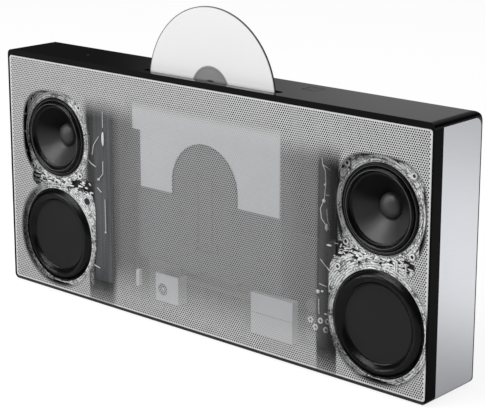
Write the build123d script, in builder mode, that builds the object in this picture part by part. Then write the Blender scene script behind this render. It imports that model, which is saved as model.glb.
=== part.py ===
from build123d import *
import os
from math import acos, atan2, cos, hypot, pi, sin

os.makedirs("parts", exist_ok=True)

# A slim micro hi-fi system: a flat case with two drivers and two passive radiators behind a metal
# grille, and a disc mechanism that takes the disc through a slot in the top. X runs across the
# front, Y to the back and Z up. The origin is under the middle of the case, on the shelf.

# Case, in millimetres
case_w = 405.0
case_d = 54.0
case_h = 189.0
corner_r = 4.0
top_back_r = 8.0
low_back_r = 4.0
foot_t = 1.0
base_t = 2.0
cap_t = 4.5
cap_skin = 2.5
cap_wall = 2.5
cap_back_wall = 6.0
rear_wall = 2.2
panel_t = 1.5
panel_lining = 2.0
panel_back_margin = 1.2
panel_top_r = 6.5
panel_low_r = 3.5
band_d = 10.0
frame_rim = 1.5
frame_side_wall = 3.0
frame_level_wall = 2.0
frame_notch_gap = 0.8
grille_t = 0.8
grille_recess = 0.3
grille_gap = 0.1
grille_corner_r = 2.5
post_r = 3.0

# Feet, screws, lens and button of the case
foot_l = 36.0
foot_w = 9.0
foot_x = 150.0
foot_y = 14.0
case_screw_low = 20.0
case_screw_top_gap = 16.5
case_screw_reach = 26.5
case_screw_r = 1.4
case_screw_head_r = 3.0
case_screw_head_t = 1.6
case_screw_l = 12.0
case_screw_sink = 0.2
case_screw_fit = 0.05
boss_r = 4.0
lens_x = -134.5
lens_y = -4.5
lens_r = 1.0
lens_flange_r = 2.0
lens_flange_t = 1.0
lens_fit = 0.05
button_x = 79.0
button_y = 6.5
button_w = 13.0
button_d = 10.0
button_gap = 0.25
button_flange = 1.2
button_flange_t = 1.1
button_play = 0.1
button_edge_r = 0.4
button_spring_r = 2.6
button_spring_wall = 0.5
button_spring_h = 2.0
button_board_t = 1.6
button_board_w = 32.0
button_board_d = 18.0

# Disc and slot
disc_r = 60.0
disc_t = 1.2
disc_bore_r = 7.5
disc_depth = 9.5
disc_out_drop = 7.5
mech_x = 5.5
slot_side_gap = 2.0
slot_w = 4.4
slot_bevel = 1.0
slot_bevel_t = 0.6
lip_gap = 0.4
lip_w = 3.8
lip_t = 1.2

# Speakers
speaker_side = 42.4
box_inner_reach = 45.5
box_back_gap = 2.8
driver_z = 123.5
passive_z = 44.0
baffle_depth = 9.5
baffle_t = 2.0
baffle_low_gap = 0.2
box_side_gap = 0.1
box_wall = 2.2
box_top_gap = 0.5
box_rib_t = 1.6
box_rib_d = 12.0
flange_t = 1.5
driver_rim_r = 31.2
driver_cone_r = 24.6
driver_flange_r = 36.0
driver_ear = 31.0
driver_screw = 27.0
passive_rim_r = 37.2
passive_disc_r = 27.7
passive_flange_r = 40.5
passive_ear = 38.0
passive_screw = 33.5
ear_corner_r = 5.0
surround_t = 0.5
surround_land = 1.4
cone_t = 0.7
cone_depth = 12.0
coil_r = 9.0
coil_wall = 0.5
coil_l = 9.0
dust_cap_r = 10.0
dust_cap_rise = 3.2
dust_cap_t = 0.6
cap_rim_gap = 0.05
basket_wall = 1.6
basket_gap = 0.5
basket_depth = 18.0
basket_back_r = 20.0
basket_window_w = 20.0
magnet_r = 19.0
magnet_t = 7.0
yoke_r = 17.5
yoke_t = 3.0
pole_r = 8.0
gap_outer_r = 10.2
passive_disc_t = 1.6
weight_r = 12.0
weight_t = 6.0
weight_edge_r = 0.5
passive_pan_wall = 1.5
passive_pan_gap = 0.5
speaker_screw_r = 1.1
speaker_screw_head_r = 2.6
speaker_screw_head_t = 1.2
speaker_screw_l = 7.0
speaker_screw_fit = 0.05

# Mechanism
left_reach = 66.5
right_reach = 71.5
guide_depth = 3.2
guide_t = 2.0
guide_low = 48.0
mech_top_gap = 6.5
hub_below_top = 66.0
roller_below_top = 12.0
motor_below_roller = 26.0
window_above_hub = 16.0
arch_plate_t = 1.0
arch_r = 31.0
arch_plate_left = 64.0
arch_plate_right = 70.0
arch_step = 8.0
arch_low_drop = 9.5
arch_step_rise = 33.0
arch_top_gap = 4.0
chassis_gap = 2.3
chassis_t = 1.2
chassis_flange_back = 5.4
strip_low = 32.5
strip_high = 36.5
window_half = 33.0
leg_w = 14.0
leg_foot_d = 10.0
roller_end_r = 4.0
roller_mid_r = 3.4
roller_half = 62.0
roller_gap = 0.3
shaft_r = 1.5
shaft_fit = 0.06
roller_window_h = 13.0
roller_end_gap = 1.0
gear_module = 0.8
tooth_root_share = 0.32
tooth_tip_share = 0.13
roller_teeth = 20
idler_teeth = 22
pinion_teeth = 10
gear_w = 3.0
gear_side_gap = 0.5
motor_depth = 21.5
motor_r = 7.5
motor_l = 22.0
motor_shaft_r = 1.0
motor_margin = 1.0
motor_hole_r = 2.2
motor_bore_l = 5.0
mode_bore_l = 2.6
seat_fit = 0.02

# Clamp in front of the disc
clamp_pin_drop = 44.0
clamp_arm_rise = 6.0
clamp_pin_r = 1.0
clamp_pin_half = 11.0
clamp_barrel_r = 1.7
clamp_ear_w = 4.0
clamp_ear_h = 8.0
clamp_pin_forward = 0.6
clamp_window_half = 8.0
clamp_arm_half = 6.0
clamp_arm_t = 1.0
puck_r = 13.0
puck_t = 1.6
puck_gap = 1.9
puck_recess_r = 8.2
puck_recess_t = 1.0
puck_boss_r = 4.0

# Traverse frame behind the disc
lift = 3.0
lifted_gap = 0.3
platter_r = 14.0
platter_t = 1.6
hub_boss_r = 7.2
hub_boss_t = 2.2
spindle_r = 12.5
spindle_t = 4.1
spindle_gap = 0.4
spindle_shaft_r = 1.0
traverse_t = 1.5
traverse_half = 40.0
traverse_low = 36.8
peg_x = 37.0
peg_low = 46.0
peg_rise = 10.0
peg_r = 1.5
peg_l = 10.9
rod_x = 18.0
rod_r = 1.2
rod_low = 39.0
rod_top_drop = 10.0
rod_post = 4.0
rod_back_gap = 2.5
sled_half = 21.0
sled_t = 3.8
sled_h = 18.0
sled_drop = 24.0
sled_nut_back = 1.1
sled_nut_h = 6.0
pickup_window_half = 12.0
lens_barrel_r = 3.2
lens_barrel_t = 1.3
screw_x = 26.5
screw_back_gap = 1.5
screw_r = 1.6
screw_low = 38.5
bearing_low = 37.5
bearing_high = 41.5
screw_half = 3.5
screw_side_gap = 3.0
screw_running_fit = 0.08
sled_motor_r = 4.5
sled_motor_l = 14.0
sled_motor_drop = 9.0
motor_cut_gap = 0.5

# Cam slide and its motor
mode_x = -38.0
mode_z = 26.0
mode_teeth = 12
mode_motor_r = 5.5
mode_motor_l = 14.7
bracket_left = -45.0
bracket_right = -22.0
bracket_low = 17.0
bracket_high = 38.0
bracket_t = 1.0
bracket_hole_r = 4.8
bracket_depth = 2.8
cam_gap = 0.6
cam_t = 2.5
cam_h = 9.0
cam_right = 50.0
cam_travel = 12.0
rack_teeth = 10
cam_peg_z = 34.5
cam_peg_left = -20.0
cam_peg_right = 36.0
cam_slot_play = 0.1
cam_head_r = 2.4
cam_head_t = 0.8
cam_head_gap = 0.3

# Boards and what is on them
board_t = 1.6
main_board_y = 6.0
main_board_side_gap = 7.0
main_board_top_gap = 8.5
main_board_h = 84.0
power_board_y = 0.0
power_board_left = 28.0
power_board_side_gap = 1.5
power_board_top_gap = 7.0
power_board_low = 5.0
board_margin = 5.0
chip_h = 2.5
cap_r = 4.7
cap_l = 12.0
cap_pitch = 10.4
cap_side = 10.5
cap_z = 30.0
sink_x = -40.0
sink_rise = 40.0
sink_back_gap = 2.2
sink_w = 40.0
sink_h = 44.0
sink_base = 3.0
sink_fins = 7
sink_fin_t = 1.4
vent_pitch = 9.0
vent_count = 9
vent_l = 44.0
vent_w = 2.4
radio_left = 49.0
radio_right = 87.0
radio_high = 44.0
radio_low = 14.0
radio_seam_z = 29.5
radio_seam = 0.6
radio_depth = 3.0
radio_t = 5.0
radio_plate_t = 1.2
radio_post_r = 2.5
radio_post_low = 18.0
radio_post_high = 28.0

# Sockets in the rear wall
socket_z = 20.0
inlet_x = -75.0
inlet_w = 18.0
inlet_h = 11.0
inlet_deep = 12.0
inlet_pin_r = 1.0
inlet_pin_x = 4.3
inlet_pin_l = 9.0
socket_wall = 2.0
network_x = -38.0
network_w = 12.0
network_h = 9.0
network_deep = 11.0
audio_x = -8.0
audio_r = 1.8
audio_deep = 14.0
antenna_x = 18.0
antenna_r = 4.7
antenna_deep = 9.0
socket_body_d = 15.0
socket_flange = 2.0
socket_recess = 0.3

# Levels and faces worked out from the sizes above
front_y = -case_d / 2
back_y = case_d / 2
body_h = case_h - foot_t
body_mid = foot_t + body_h / 2
base_top = foot_t + base_t
cap_z0 = case_h - cap_t
cap_ceiling = case_h - cap_skin
band_y = front_y + band_d
grille_front = front_y + grille_recess
grille_back = grille_front + grille_t
inner_back = back_y - rear_wall
disc_y = front_y + disc_depth
disc_front = disc_y - disc_t / 2
disc_back = disc_y + disc_t / 2
baffle_front = front_y + baffle_depth
baffle_back = baffle_front + baffle_t
flange_front = baffle_front - flange_t
box_outer_x = case_w / 2 - panel_t - panel_lining - box_side_gap
speaker_x = box_outer_x - speaker_side
box_inner_x = speaker_x - box_inner_reach
box_back = inner_back - box_back_gap
case_screw_x = speaker_x - case_screw_reach
case_screw_high = cap_z0 - case_screw_top_gap
box_top = cap_z0 - frame_level_wall - box_top_gap
disc_out_z = case_h - disc_out_drop
mech_top = cap_z0 - mech_top_gap
hub_z = mech_top - hub_below_top
roller_z = mech_top - roller_below_top
motor_z = roller_z - motor_below_roller
window_top = hub_z + window_above_hub
traverse_high = window_top
peg_high = hub_z + peg_rise
rod_high = hub_z - rod_top_drop
sled_z = hub_z - sled_drop
sled_motor_z = hub_z - sled_motor_drop
clamp_pin_z = hub_z - clamp_pin_drop
clamp_arm_top = hub_z + clamp_arm_rise
arch_plate_low = hub_z - arch_low_drop
arch_step_z = hub_z + arch_step_rise
arch_plate_top = mech_top - arch_top_gap
mech_left = mech_x - left_reach
mech_right = mech_x + right_reach
guide_front = front_y + guide_depth
guide_back = guide_front + guide_t
chassis_front = disc_back + chassis_gap
chassis_back = chassis_front + chassis_t
platter_front = disc_back + lifted_gap + lift
platter_back = platter_front + platter_t
spindle_front = platter_back + spindle_gap
traverse_front = spindle_front + spindle_t
traverse_back = traverse_front + traverse_t
rod_y = traverse_front - rod_back_gap
screw_y = traverse_front - screw_back_gap
sled_front = rod_y - sled_t / 2
cam_front = traverse_back + cam_gap
cam_back = cam_front + cam_t
roller_y = disc_back + roller_gap + roller_end_r
motor_y = front_y + motor_depth
gear_x0 = mech_right + gear_side_gap
gear_x1 = gear_x0 + gear_w
main_board_half = box_inner_x - main_board_side_gap
main_board_high = cap_z0 - main_board_top_gap
main_board_low = main_board_high - main_board_h
power_board_right = box_inner_x - power_board_side_gap
power_board_high = main_board_low - power_board_top_gap
cap_x = power_board_right - cap_side
sink_z = main_board_low + sink_rise
sink_front = main_board_y + board_t
sink_d = inner_back - sink_back_gap - sink_front
socket_back = back_y - socket_body_d
tooth_depth_below = 1.2 * gear_module
tooth_height_above = 0.8 * gear_module
bracket_front = front_y + bracket_depth


def facing(y):
    """A sketch plane at this Y that faces the front: its axes are X and Z, and it extrudes forward."""
    return Plane.XZ.offset(-y)


def sideways(x):
    """A sketch plane at this X: its axes are Y and Z, and it extrudes towards +X."""
    return Plane.YZ.offset(x)


def slab(x0, x1, y0, y1, z0, z1, mode=Mode.ADD):
    """A straight block between six faces, added to or cut from the piece being built."""
    with Locations(((x0 + x1) / 2, (y0 + y1) / 2, (z0 + z1) / 2)):
        Box(x1 - x0, y1 - y0, z1 - z0, mode=mode)


def rod_along_y(x, z, r, y0, y1, mode=Mode.ADD):
    """A round bar or bore along Y between two depths."""
    with Locations(Location((x, (y0 + y1) / 2, z), (90, 0, 0))):
        Cylinder(r, y1 - y0, mode=mode)


def rod_along_x(y, z, r, x0, x1, mode=Mode.ADD):
    """A round bar or bore along X between two places."""
    with Locations(Location(((x0 + x1) / 2, y, z), (0, 90, 0))):
        Cylinder(r, x1 - x0, mode=mode)


def rod_along_z(x, y, r, z0, z1, mode=Mode.ADD):
    """A round bar or bore along Z between two heights."""
    with Locations((x, y, (z0 + z1) / 2)):
        Cylinder(r, z1 - z0, mode=mode)


def tooth_points(middle, step, pitch_r):
    """One straight-flanked gear tooth: root, tip, tip, root, thinner than half a pitch for backlash."""
    root = pitch_r - tooth_depth_below
    tip = pitch_r + tooth_height_above
    corners = (
        (-tooth_root_share, root),
        (-tooth_tip_share, tip),
        (tooth_tip_share, tip),
        (tooth_root_share, root),
    )
    turns = [(middle + share * step, radius) for share, radius in corners]
    return [(radius * cos(turn), radius * sin(turn)) for turn, radius in turns]


def gear_outline(teeth, phase):
    """The closed outline of a spur gear whose first tooth points along phase, in radians."""
    step = 2 * pi / teeth
    pitch_r = gear_module * teeth / 2
    points = []
    for tooth in range(teeth):
        points += tooth_points(phase + tooth * step, step, pitch_r)
    return points


# Outside of the whole case above its feet: rounded seen from the front, and along its rear edges
with BuildPart() as envelope:
    with BuildSketch(facing(back_y)):
        with Locations((0, body_mid)):
            RectangleRounded(case_w, body_h, corner_r)
    extrude(amount=case_d)
    with BuildSketch(sideways(-case_w / 2)) as side_view:
        with Locations((0, body_mid)):
            Rectangle(case_d, body_h)
        fillet(side_view.vertices().group_by(Axis.X)[-1].sort_by(Axis.Y)[-1:], top_back_r)
        fillet(side_view.vertices().group_by(Axis.X)[-1].sort_by(Axis.Y)[:1], low_back_r)
    extrude(amount=case_w, mode=Mode.INTERSECT)

# Front grille: one flat sheet of perforated metal, set a little back in the front frame
with BuildPart() as front_grille:
    grille_w = case_w - 2 * (frame_rim + grille_gap)
    grille_low = base_top + grille_gap
    grille_high = cap_z0 - grille_gap
    with BuildSketch(facing(grille_back)):
        with Locations((0, (grille_low + grille_high) / 2)):
            RectangleRounded(grille_w, grille_high - grille_low, grille_corner_r)
    extrude(amount=grille_t)
front_grille.part.label = "front_grille"
export_step(front_grille.part, "parts/front_grille.step")

# Front frame: the black ring round the front, with a ledge that the grille lies on and a notch at
# the back of its top bar where the disc passes
with BuildPart() as front_frame:
    with BuildSketch(facing(band_y)):
        with Locations((0, (base_top + cap_z0) / 2)):
            Rectangle(case_w, cap_z0 - base_top)
            Rectangle(
                case_w - 2 * frame_side_wall,
                cap_z0 - base_top - 2 * frame_level_wall,
                mode=Mode.SUBTRACT,
            )
    extrude(amount=band_d)
    slab(
        -case_w / 2 + frame_rim,
        case_w / 2 - frame_rim,
        front_y,
        grille_back,
        base_top,
        cap_z0,
        Mode.SUBTRACT,
    )
    slab(
        mech_x - disc_r - slot_side_gap,
        mech_x + disc_r + slot_side_gap,
        disc_front - lip_gap - frame_notch_gap,
        band_y,
        cap_z0 - frame_level_wall,
        cap_z0,
        Mode.SUBTRACT,
    )
    add(envelope.part, mode=Mode.INTERSECT)
front_frame.part.label = "front_frame"
export_step(front_frame.part, "parts/front_frame.step")

# Top panel: a black cap over the whole case with the disc slot, the button hole and the lamp hole
with BuildPart() as top_panel:
    slab(-case_w / 2, case_w / 2, front_y, back_y, cap_z0, case_h)
    add(envelope.part, mode=Mode.INTERSECT)
    slab(
        -case_w / 2 + cap_wall,
        case_w / 2 - cap_wall,
        front_y + cap_wall,
        back_y - cap_back_wall,
        cap_z0,
        cap_ceiling,
        Mode.SUBTRACT,
    )
    with BuildSketch(Plane.XY.offset(cap_ceiling)):
        with Locations((mech_x, disc_y)):
            SlotOverall(2 * (disc_r + slot_side_gap) + slot_w, slot_w)
    extrude(amount=cap_skin, mode=Mode.SUBTRACT)
    with BuildSketch(Plane.XY.offset(case_h - slot_bevel_t)):
        with Locations((mech_x, disc_y)):
            SlotOverall(2 * (disc_r + slot_side_gap + slot_bevel) + slot_w, slot_w + 2 * slot_bevel)
    extrude(amount=slot_bevel_t, mode=Mode.SUBTRACT)
    with BuildSketch(Plane.XY.offset(cap_ceiling)):
        with Locations((button_x, button_y)):
            Rectangle(button_w + 2 * button_gap, button_d + 2 * button_gap)
    extrude(amount=cap_skin, mode=Mode.SUBTRACT)
    rod_along_z(lens_x, lens_y, lens_r + lens_fit, cap_ceiling, case_h, Mode.SUBTRACT)
    for side in (-1, 1):
        rod_along_z(
            button_x + side * (button_board_w / 2 - post_r),
            button_y,
            post_r,
            cap_ceiling - button_flange_t - button_spring_h - button_play,
            cap_ceiling,
        )
top_panel.part.label = "top_panel"
export_step(top_panel.part, "parts/top_panel.step")

# Slot lips: two strips of black felt glued under the slot, one on each side of the disc
with BuildPart() as slot_lips:
    lip_half = disc_r + slot_side_gap
    for y0 in (disc_front - lip_gap - lip_w, disc_back + lip_gap):
        slab(mech_x - lip_half, mech_x + lip_half, y0, y0 + lip_w, cap_ceiling - lip_t, cap_ceiling)
slot_lips.part.label = "slot_lips"
export_step(slot_lips.part, "parts/slot_lips.step")

# Status lens: the small clear lens of the lamp in the top panel
with BuildPart() as status_lens:
    rod_along_z(lens_x, lens_y, lens_r, cap_ceiling - lens_flange_t, case_h)
    rod_along_z(lens_x, lens_y, lens_flange_r, cap_ceiling - lens_flange_t, cap_ceiling)
status_lens.part.label = "status_lens"
export_step(status_lens.part, "parts/status_lens.step")

# Eject button: a flush key with a flange that keeps it in the top panel
button_flange_top = cap_ceiling - button_play
button_low = button_flange_top - button_flange_t
with BuildPart() as eject_button:
    slab(
        button_x - button_w / 2,
        button_x + button_w / 2,
        button_y - button_d / 2,
        button_y + button_d / 2,
        button_low,
        case_h,
    )
    slab(
        button_x - button_w / 2 - button_flange,
        button_x + button_w / 2 + button_flange,
        button_y - button_d / 2 - button_flange,
        button_y + button_d / 2 + button_flange,
        button_low,
        button_flange_top,
    )
    fillet(eject_button.faces().sort_by(Axis.Z)[-1].edges(), button_edge_r)
eject_button.part.label = "eject_button"
export_step(eject_button.part, "parts/eject_button.step")

# Button spring: the short rubber dome ring that pushes the key back up
board_top = button_low - button_spring_h
with BuildPart() as button_spring:
    rod_along_z(button_x, button_y, button_spring_r, board_top, button_low)
    inside_r = button_spring_r - button_spring_wall
    rod_along_z(button_x, button_y, inside_r, board_top, button_low, Mode.SUBTRACT)
button_spring.part.label = "button_spring"
export_step(button_spring.part, "parts/button_spring.step")

# Bottom plate, which everything stands on, and four rubber pads under it
with BuildPart() as bottom_plate:
    slab(-case_w / 2, case_w / 2, front_y, back_y, foot_t, base_top)
    add(envelope.part, mode=Mode.INTERSECT)
bottom_plate.part.label = "bottom_plate"
export_step(bottom_plate.part, "parts/bottom_plate.step")

with BuildPart() as rubber_feet:
    with BuildSketch(Plane.XY):
        with GridLocations(2 * foot_x, 2 * foot_y, 2, 2):
            SlotOverall(foot_l, foot_w)
    extrude(amount=foot_t)
rubber_feet.part.label = "rubber_feet"
export_step(rubber_feet.part, "parts/rubber_feet.step")

# Rear cover: the black tub behind the front frame, with recesses for the side panels, posts for
# the boards, vents, and the holes for the sockets and screws
panel_back = back_y - panel_back_margin
with BuildPart() as panel_stock:
    with BuildSketch(sideways(case_w / 2 - panel_t)) as panel_view:
        with Locations(((band_y + panel_back) / 2, (base_top + cap_z0) / 2)):
            Rectangle(panel_back - band_y, cap_z0 - base_top)
        fillet(panel_view.vertices().group_by(Axis.X)[-1].sort_by(Axis.Y)[-1:], panel_top_r)
        fillet(panel_view.vertices().group_by(Axis.X)[-1].sort_by(Axis.Y)[:1], panel_low_r)
    extrude(amount=panel_t)

socket_holes = (
    (inlet_x, inlet_w, inlet_h),
    (network_x, network_w, network_h),
)
round_holes = (
    (audio_x, audio_r + socket_wall),
    (antenna_x, antenna_r + socket_wall),
)
with BuildPart() as rear_cover:
    slab(-case_w / 2, case_w / 2, band_y, back_y, base_top, cap_z0)
    add(envelope.part, mode=Mode.INTERSECT)
    slab(
        -case_w / 2 + panel_t + panel_lining,
        case_w / 2 - panel_t - panel_lining,
        band_y,
        inner_back,
        base_top,
        cap_z0,
        Mode.SUBTRACT,
    )
    add(panel_stock.part, mode=Mode.SUBTRACT)
    add(panel_stock.part.mirror(Plane.YZ), mode=Mode.SUBTRACT)
    for x in (-main_board_half + board_margin, main_board_half - board_margin):
        for z in (main_board_low + board_margin, main_board_high - board_margin):
            rod_along_y(x, z, post_r, main_board_y + board_t, inner_back)
    for x in (power_board_left + board_margin, power_board_right - board_margin):
        for z in (power_board_low + board_margin, power_board_high - board_margin):
            rod_along_y(x, z, post_r, power_board_y + board_t, inner_back)
    for x in (-case_screw_x, case_screw_x):
        for z in (case_screw_low, case_screw_high):
            rod_along_y(x, z, boss_r, box_back, inner_back)
            rod_along_y(x, z, case_screw_r + case_screw_fit, box_back, back_y, Mode.SUBTRACT)
            rod_along_y(
                x,
                z,
                case_screw_head_r + case_screw_fit,
                back_y - case_screw_head_t,
                back_y,
                Mode.SUBTRACT,
            )
    for x, wide, high in socket_holes:
        slab(
            x - wide / 2 - socket_wall,
            x + wide / 2 + socket_wall,
            inner_back,
            back_y,
            socket_z - high / 2 - socket_wall,
            socket_z + high / 2 + socket_wall,
            Mode.SUBTRACT,
        )
    for x, radius in round_holes:
        rod_along_y(x, socket_z, radius, inner_back, back_y, Mode.SUBTRACT)
    with BuildSketch(facing(back_y)):
        with Locations((sink_x, sink_z)):
            with GridLocations(vent_pitch, 0, vent_count, 1):
                SlotOverall(vent_l, vent_w, rotation=90)
    extrude(amount=rear_wall, mode=Mode.SUBTRACT)
rear_cover.part.label = "rear_cover"
export_step(rear_cover.part, "parts/rear_cover.step")

# Side panels: silver sheets let into the sides of the rear cover
for name, turn in (("right_side_panel", 1), ("left_side_panel", -1)):
    with BuildPart() as side_panel:
        add(panel_stock.part if turn > 0 else panel_stock.part.mirror(Plane.YZ))
        add(envelope.part, mode=Mode.INTERSECT)
    side_panel.part.label = name
    export_step(side_panel.part, f"parts/{name}.step")

# Case screws, through the rear wall into the speaker boxes
screw_seat_y = back_y - case_screw_head_t
with BuildPart() as case_screws:
    for x in (-case_screw_x, case_screw_x):
        for z in (case_screw_low, case_screw_high):
            rod_along_y(x, z, case_screw_head_r, screw_seat_y, back_y - case_screw_sink)
            rod_along_y(x, z, case_screw_r, screw_seat_y - case_screw_l, screw_seat_y)
case_screws.part.label = "case_screws"
export_step(case_screws.part, "parts/case_screws.step")

# Speaker boxes: a tub for each side, closed at the front by its baffle, with two shelves inside
with BuildPart() as speaker_boxes:
    for side in (-1, 1):
        x_in = side * box_inner_x
        x_out = side * box_outer_x
        low_x = min(x_in, x_out)
        high_x = max(x_in, x_out)
        slab(low_x, high_x, baffle_back, box_back, base_top, box_top)
        slab(
            low_x + box_wall,
            high_x - box_wall,
            baffle_back,
            box_back - box_wall,
            base_top + box_wall,
            box_top - box_wall,
            Mode.SUBTRACT,
        )
        shelf_z = (driver_z + passive_z) / 2 + box_rib_t
        slab(low_x, high_x, box_back - box_wall - box_rib_d, box_back, shelf_z, shelf_z + box_rib_t)
        for z in (case_screw_low, case_screw_high):
            x = side * case_screw_x
            rod_along_y(x, z, boss_r, box_back - case_screw_l, box_back)
            bore_r = case_screw_r + case_screw_fit
            rod_along_y(x, z, bore_r, box_back - case_screw_l, box_back, Mode.SUBTRACT)
speaker_boxes.part.label = "speaker_boxes"
export_step(speaker_boxes.part, "parts/speaker_boxes.step")

# Places of the four speaker units: how far along X, height, rim, flange, ear and screw sizes
driver_places = [(side * speaker_x, driver_z, driver_screw) for side in (-1, 1)]
passive_places = [(side * speaker_x, passive_z, passive_screw) for side in (-1, 1)]
driver_hole_r = driver_rim_r + basket_gap
passive_hole_r = passive_rim_r

# Speaker baffles: the plates that carry a driver and a passive unit, with a boss behind each screw
baffle_low = base_top + frame_level_wall + baffle_low_gap
unit_screws = [
    (x + i * reach, z + k * reach)
    for x, z, reach in driver_places + passive_places
    for i in (-1, 1)
    for k in (-1, 1)
]
with BuildPart() as speaker_baffles:
    for side in (-1, 1):
        slab(
            min(side * box_inner_x, side * box_outer_x),
            max(side * box_inner_x, side * box_outer_x),
            baffle_front,
            baffle_back,
            baffle_low,
            box_top,
        )
    for places, hole_r in ((driver_places, driver_hole_r), (passive_places, passive_hole_r)):
        for x, z, reach in places:
            rod_along_y(x, z, hole_r, baffle_front, baffle_back, Mode.SUBTRACT)
    for x, z in unit_screws:
        rod_along_y(x, z, post_r, baffle_back, flange_front + speaker_screw_l)
        rod_along_y(
            x,
            z,
            speaker_screw_r + speaker_screw_fit,
            baffle_front,
            flange_front + speaker_screw_l,
            Mode.SUBTRACT,
        )
speaker_baffles.part.label = "speaker_baffles"
export_step(speaker_baffles.part, "parts/speaker_baffles.step")


def unit_flange(x, z, flange_r, ear, reach, opening_r):
    """The flat front of a speaker frame: a round ring on a rounded square with a screw hole in each ear."""
    with BuildSketch(facing(baffle_front)) as outline:
        with Locations((x, z)):
            Circle(flange_r)
            RectangleRounded(2 * ear, 2 * ear, ear_corner_r)
            Circle(opening_r, mode=Mode.SUBTRACT)
            with GridLocations(2 * reach, 2 * reach, 2, 2):
                Circle(speaker_screw_r + speaker_screw_fit, mode=Mode.SUBTRACT)
        with Locations((x, baffle_low - flange_r)):
            Rectangle(4 * flange_r, 2 * flange_r, mode=Mode.SUBTRACT)
    extrude(outline.sketch, amount=flange_t)


def turned(x, z, points):
    """A solid of revolution about the unit's own axis, from (radius, depth) points of its half section."""
    with BuildSketch(Plane.XY.offset(z)) as half:
        with BuildLine():
            Polyline(*[(x + radius, y) for radius, y in points], close=True)
        make_face()
    revolve(half.sketch, axis=Axis((x, 0, z), (0, 1, 0)))


# Driver frames: flange and basket in one moulding, the basket open at four windows
basket_back = flange_front + basket_depth
basket_mouth = driver_rim_r - basket_wall
with BuildPart() as driver_frames:
    for x, z, reach in driver_places:
        unit_flange(x, z, driver_flange_r, driver_ear, reach, basket_mouth)
        turned(
            x,
            z,
            (
                (basket_mouth, baffle_front),
                (driver_rim_r, baffle_front),
                (driver_rim_r, baffle_back),
                (basket_back_r, basket_back),
                (gap_outer_r, basket_back),
                (gap_outer_r, basket_back - basket_wall),
                (basket_back_r - basket_wall, basket_back - basket_wall),
                (basket_mouth, baffle_back - basket_wall / 2),
            ),
        )
        for wide, high in ((2 * driver_rim_r, basket_window_w), (basket_window_w, 2 * driver_rim_r)):
            slab(
                x - wide / 2,
                x + wide / 2,
                baffle_back + basket_wall,
                basket_back - 2 * basket_wall,
                z - high / 2,
                z + high / 2,
                Mode.SUBTRACT,
            )
driver_frames.part.label = "driver_frames"
export_step(driver_frames.part, "parts/driver_frames.step")

# Driver magnets: top plate, ferrite ring and yoke with its pole, stacked on the back of each basket
plate_back = basket_back + yoke_t
magnet_back = plate_back + magnet_t
with BuildPart() as driver_magnets:
    for x, z, reach in driver_places:
        rod_along_y(x, z, yoke_r, basket_back, plate_back)
        rod_along_y(x, z, magnet_r, plate_back, magnet_back)
        rod_along_y(x, z, gap_outer_r, basket_back, magnet_back, Mode.SUBTRACT)
        rod_along_y(x, z, yoke_r, magnet_back, magnet_back + yoke_t)
        rod_along_y(x, z, pole_r, basket_back, magnet_back)
driver_magnets.part.label = "driver_magnets"
export_step(driver_magnets.part, "parts/driver_magnets.step")

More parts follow.
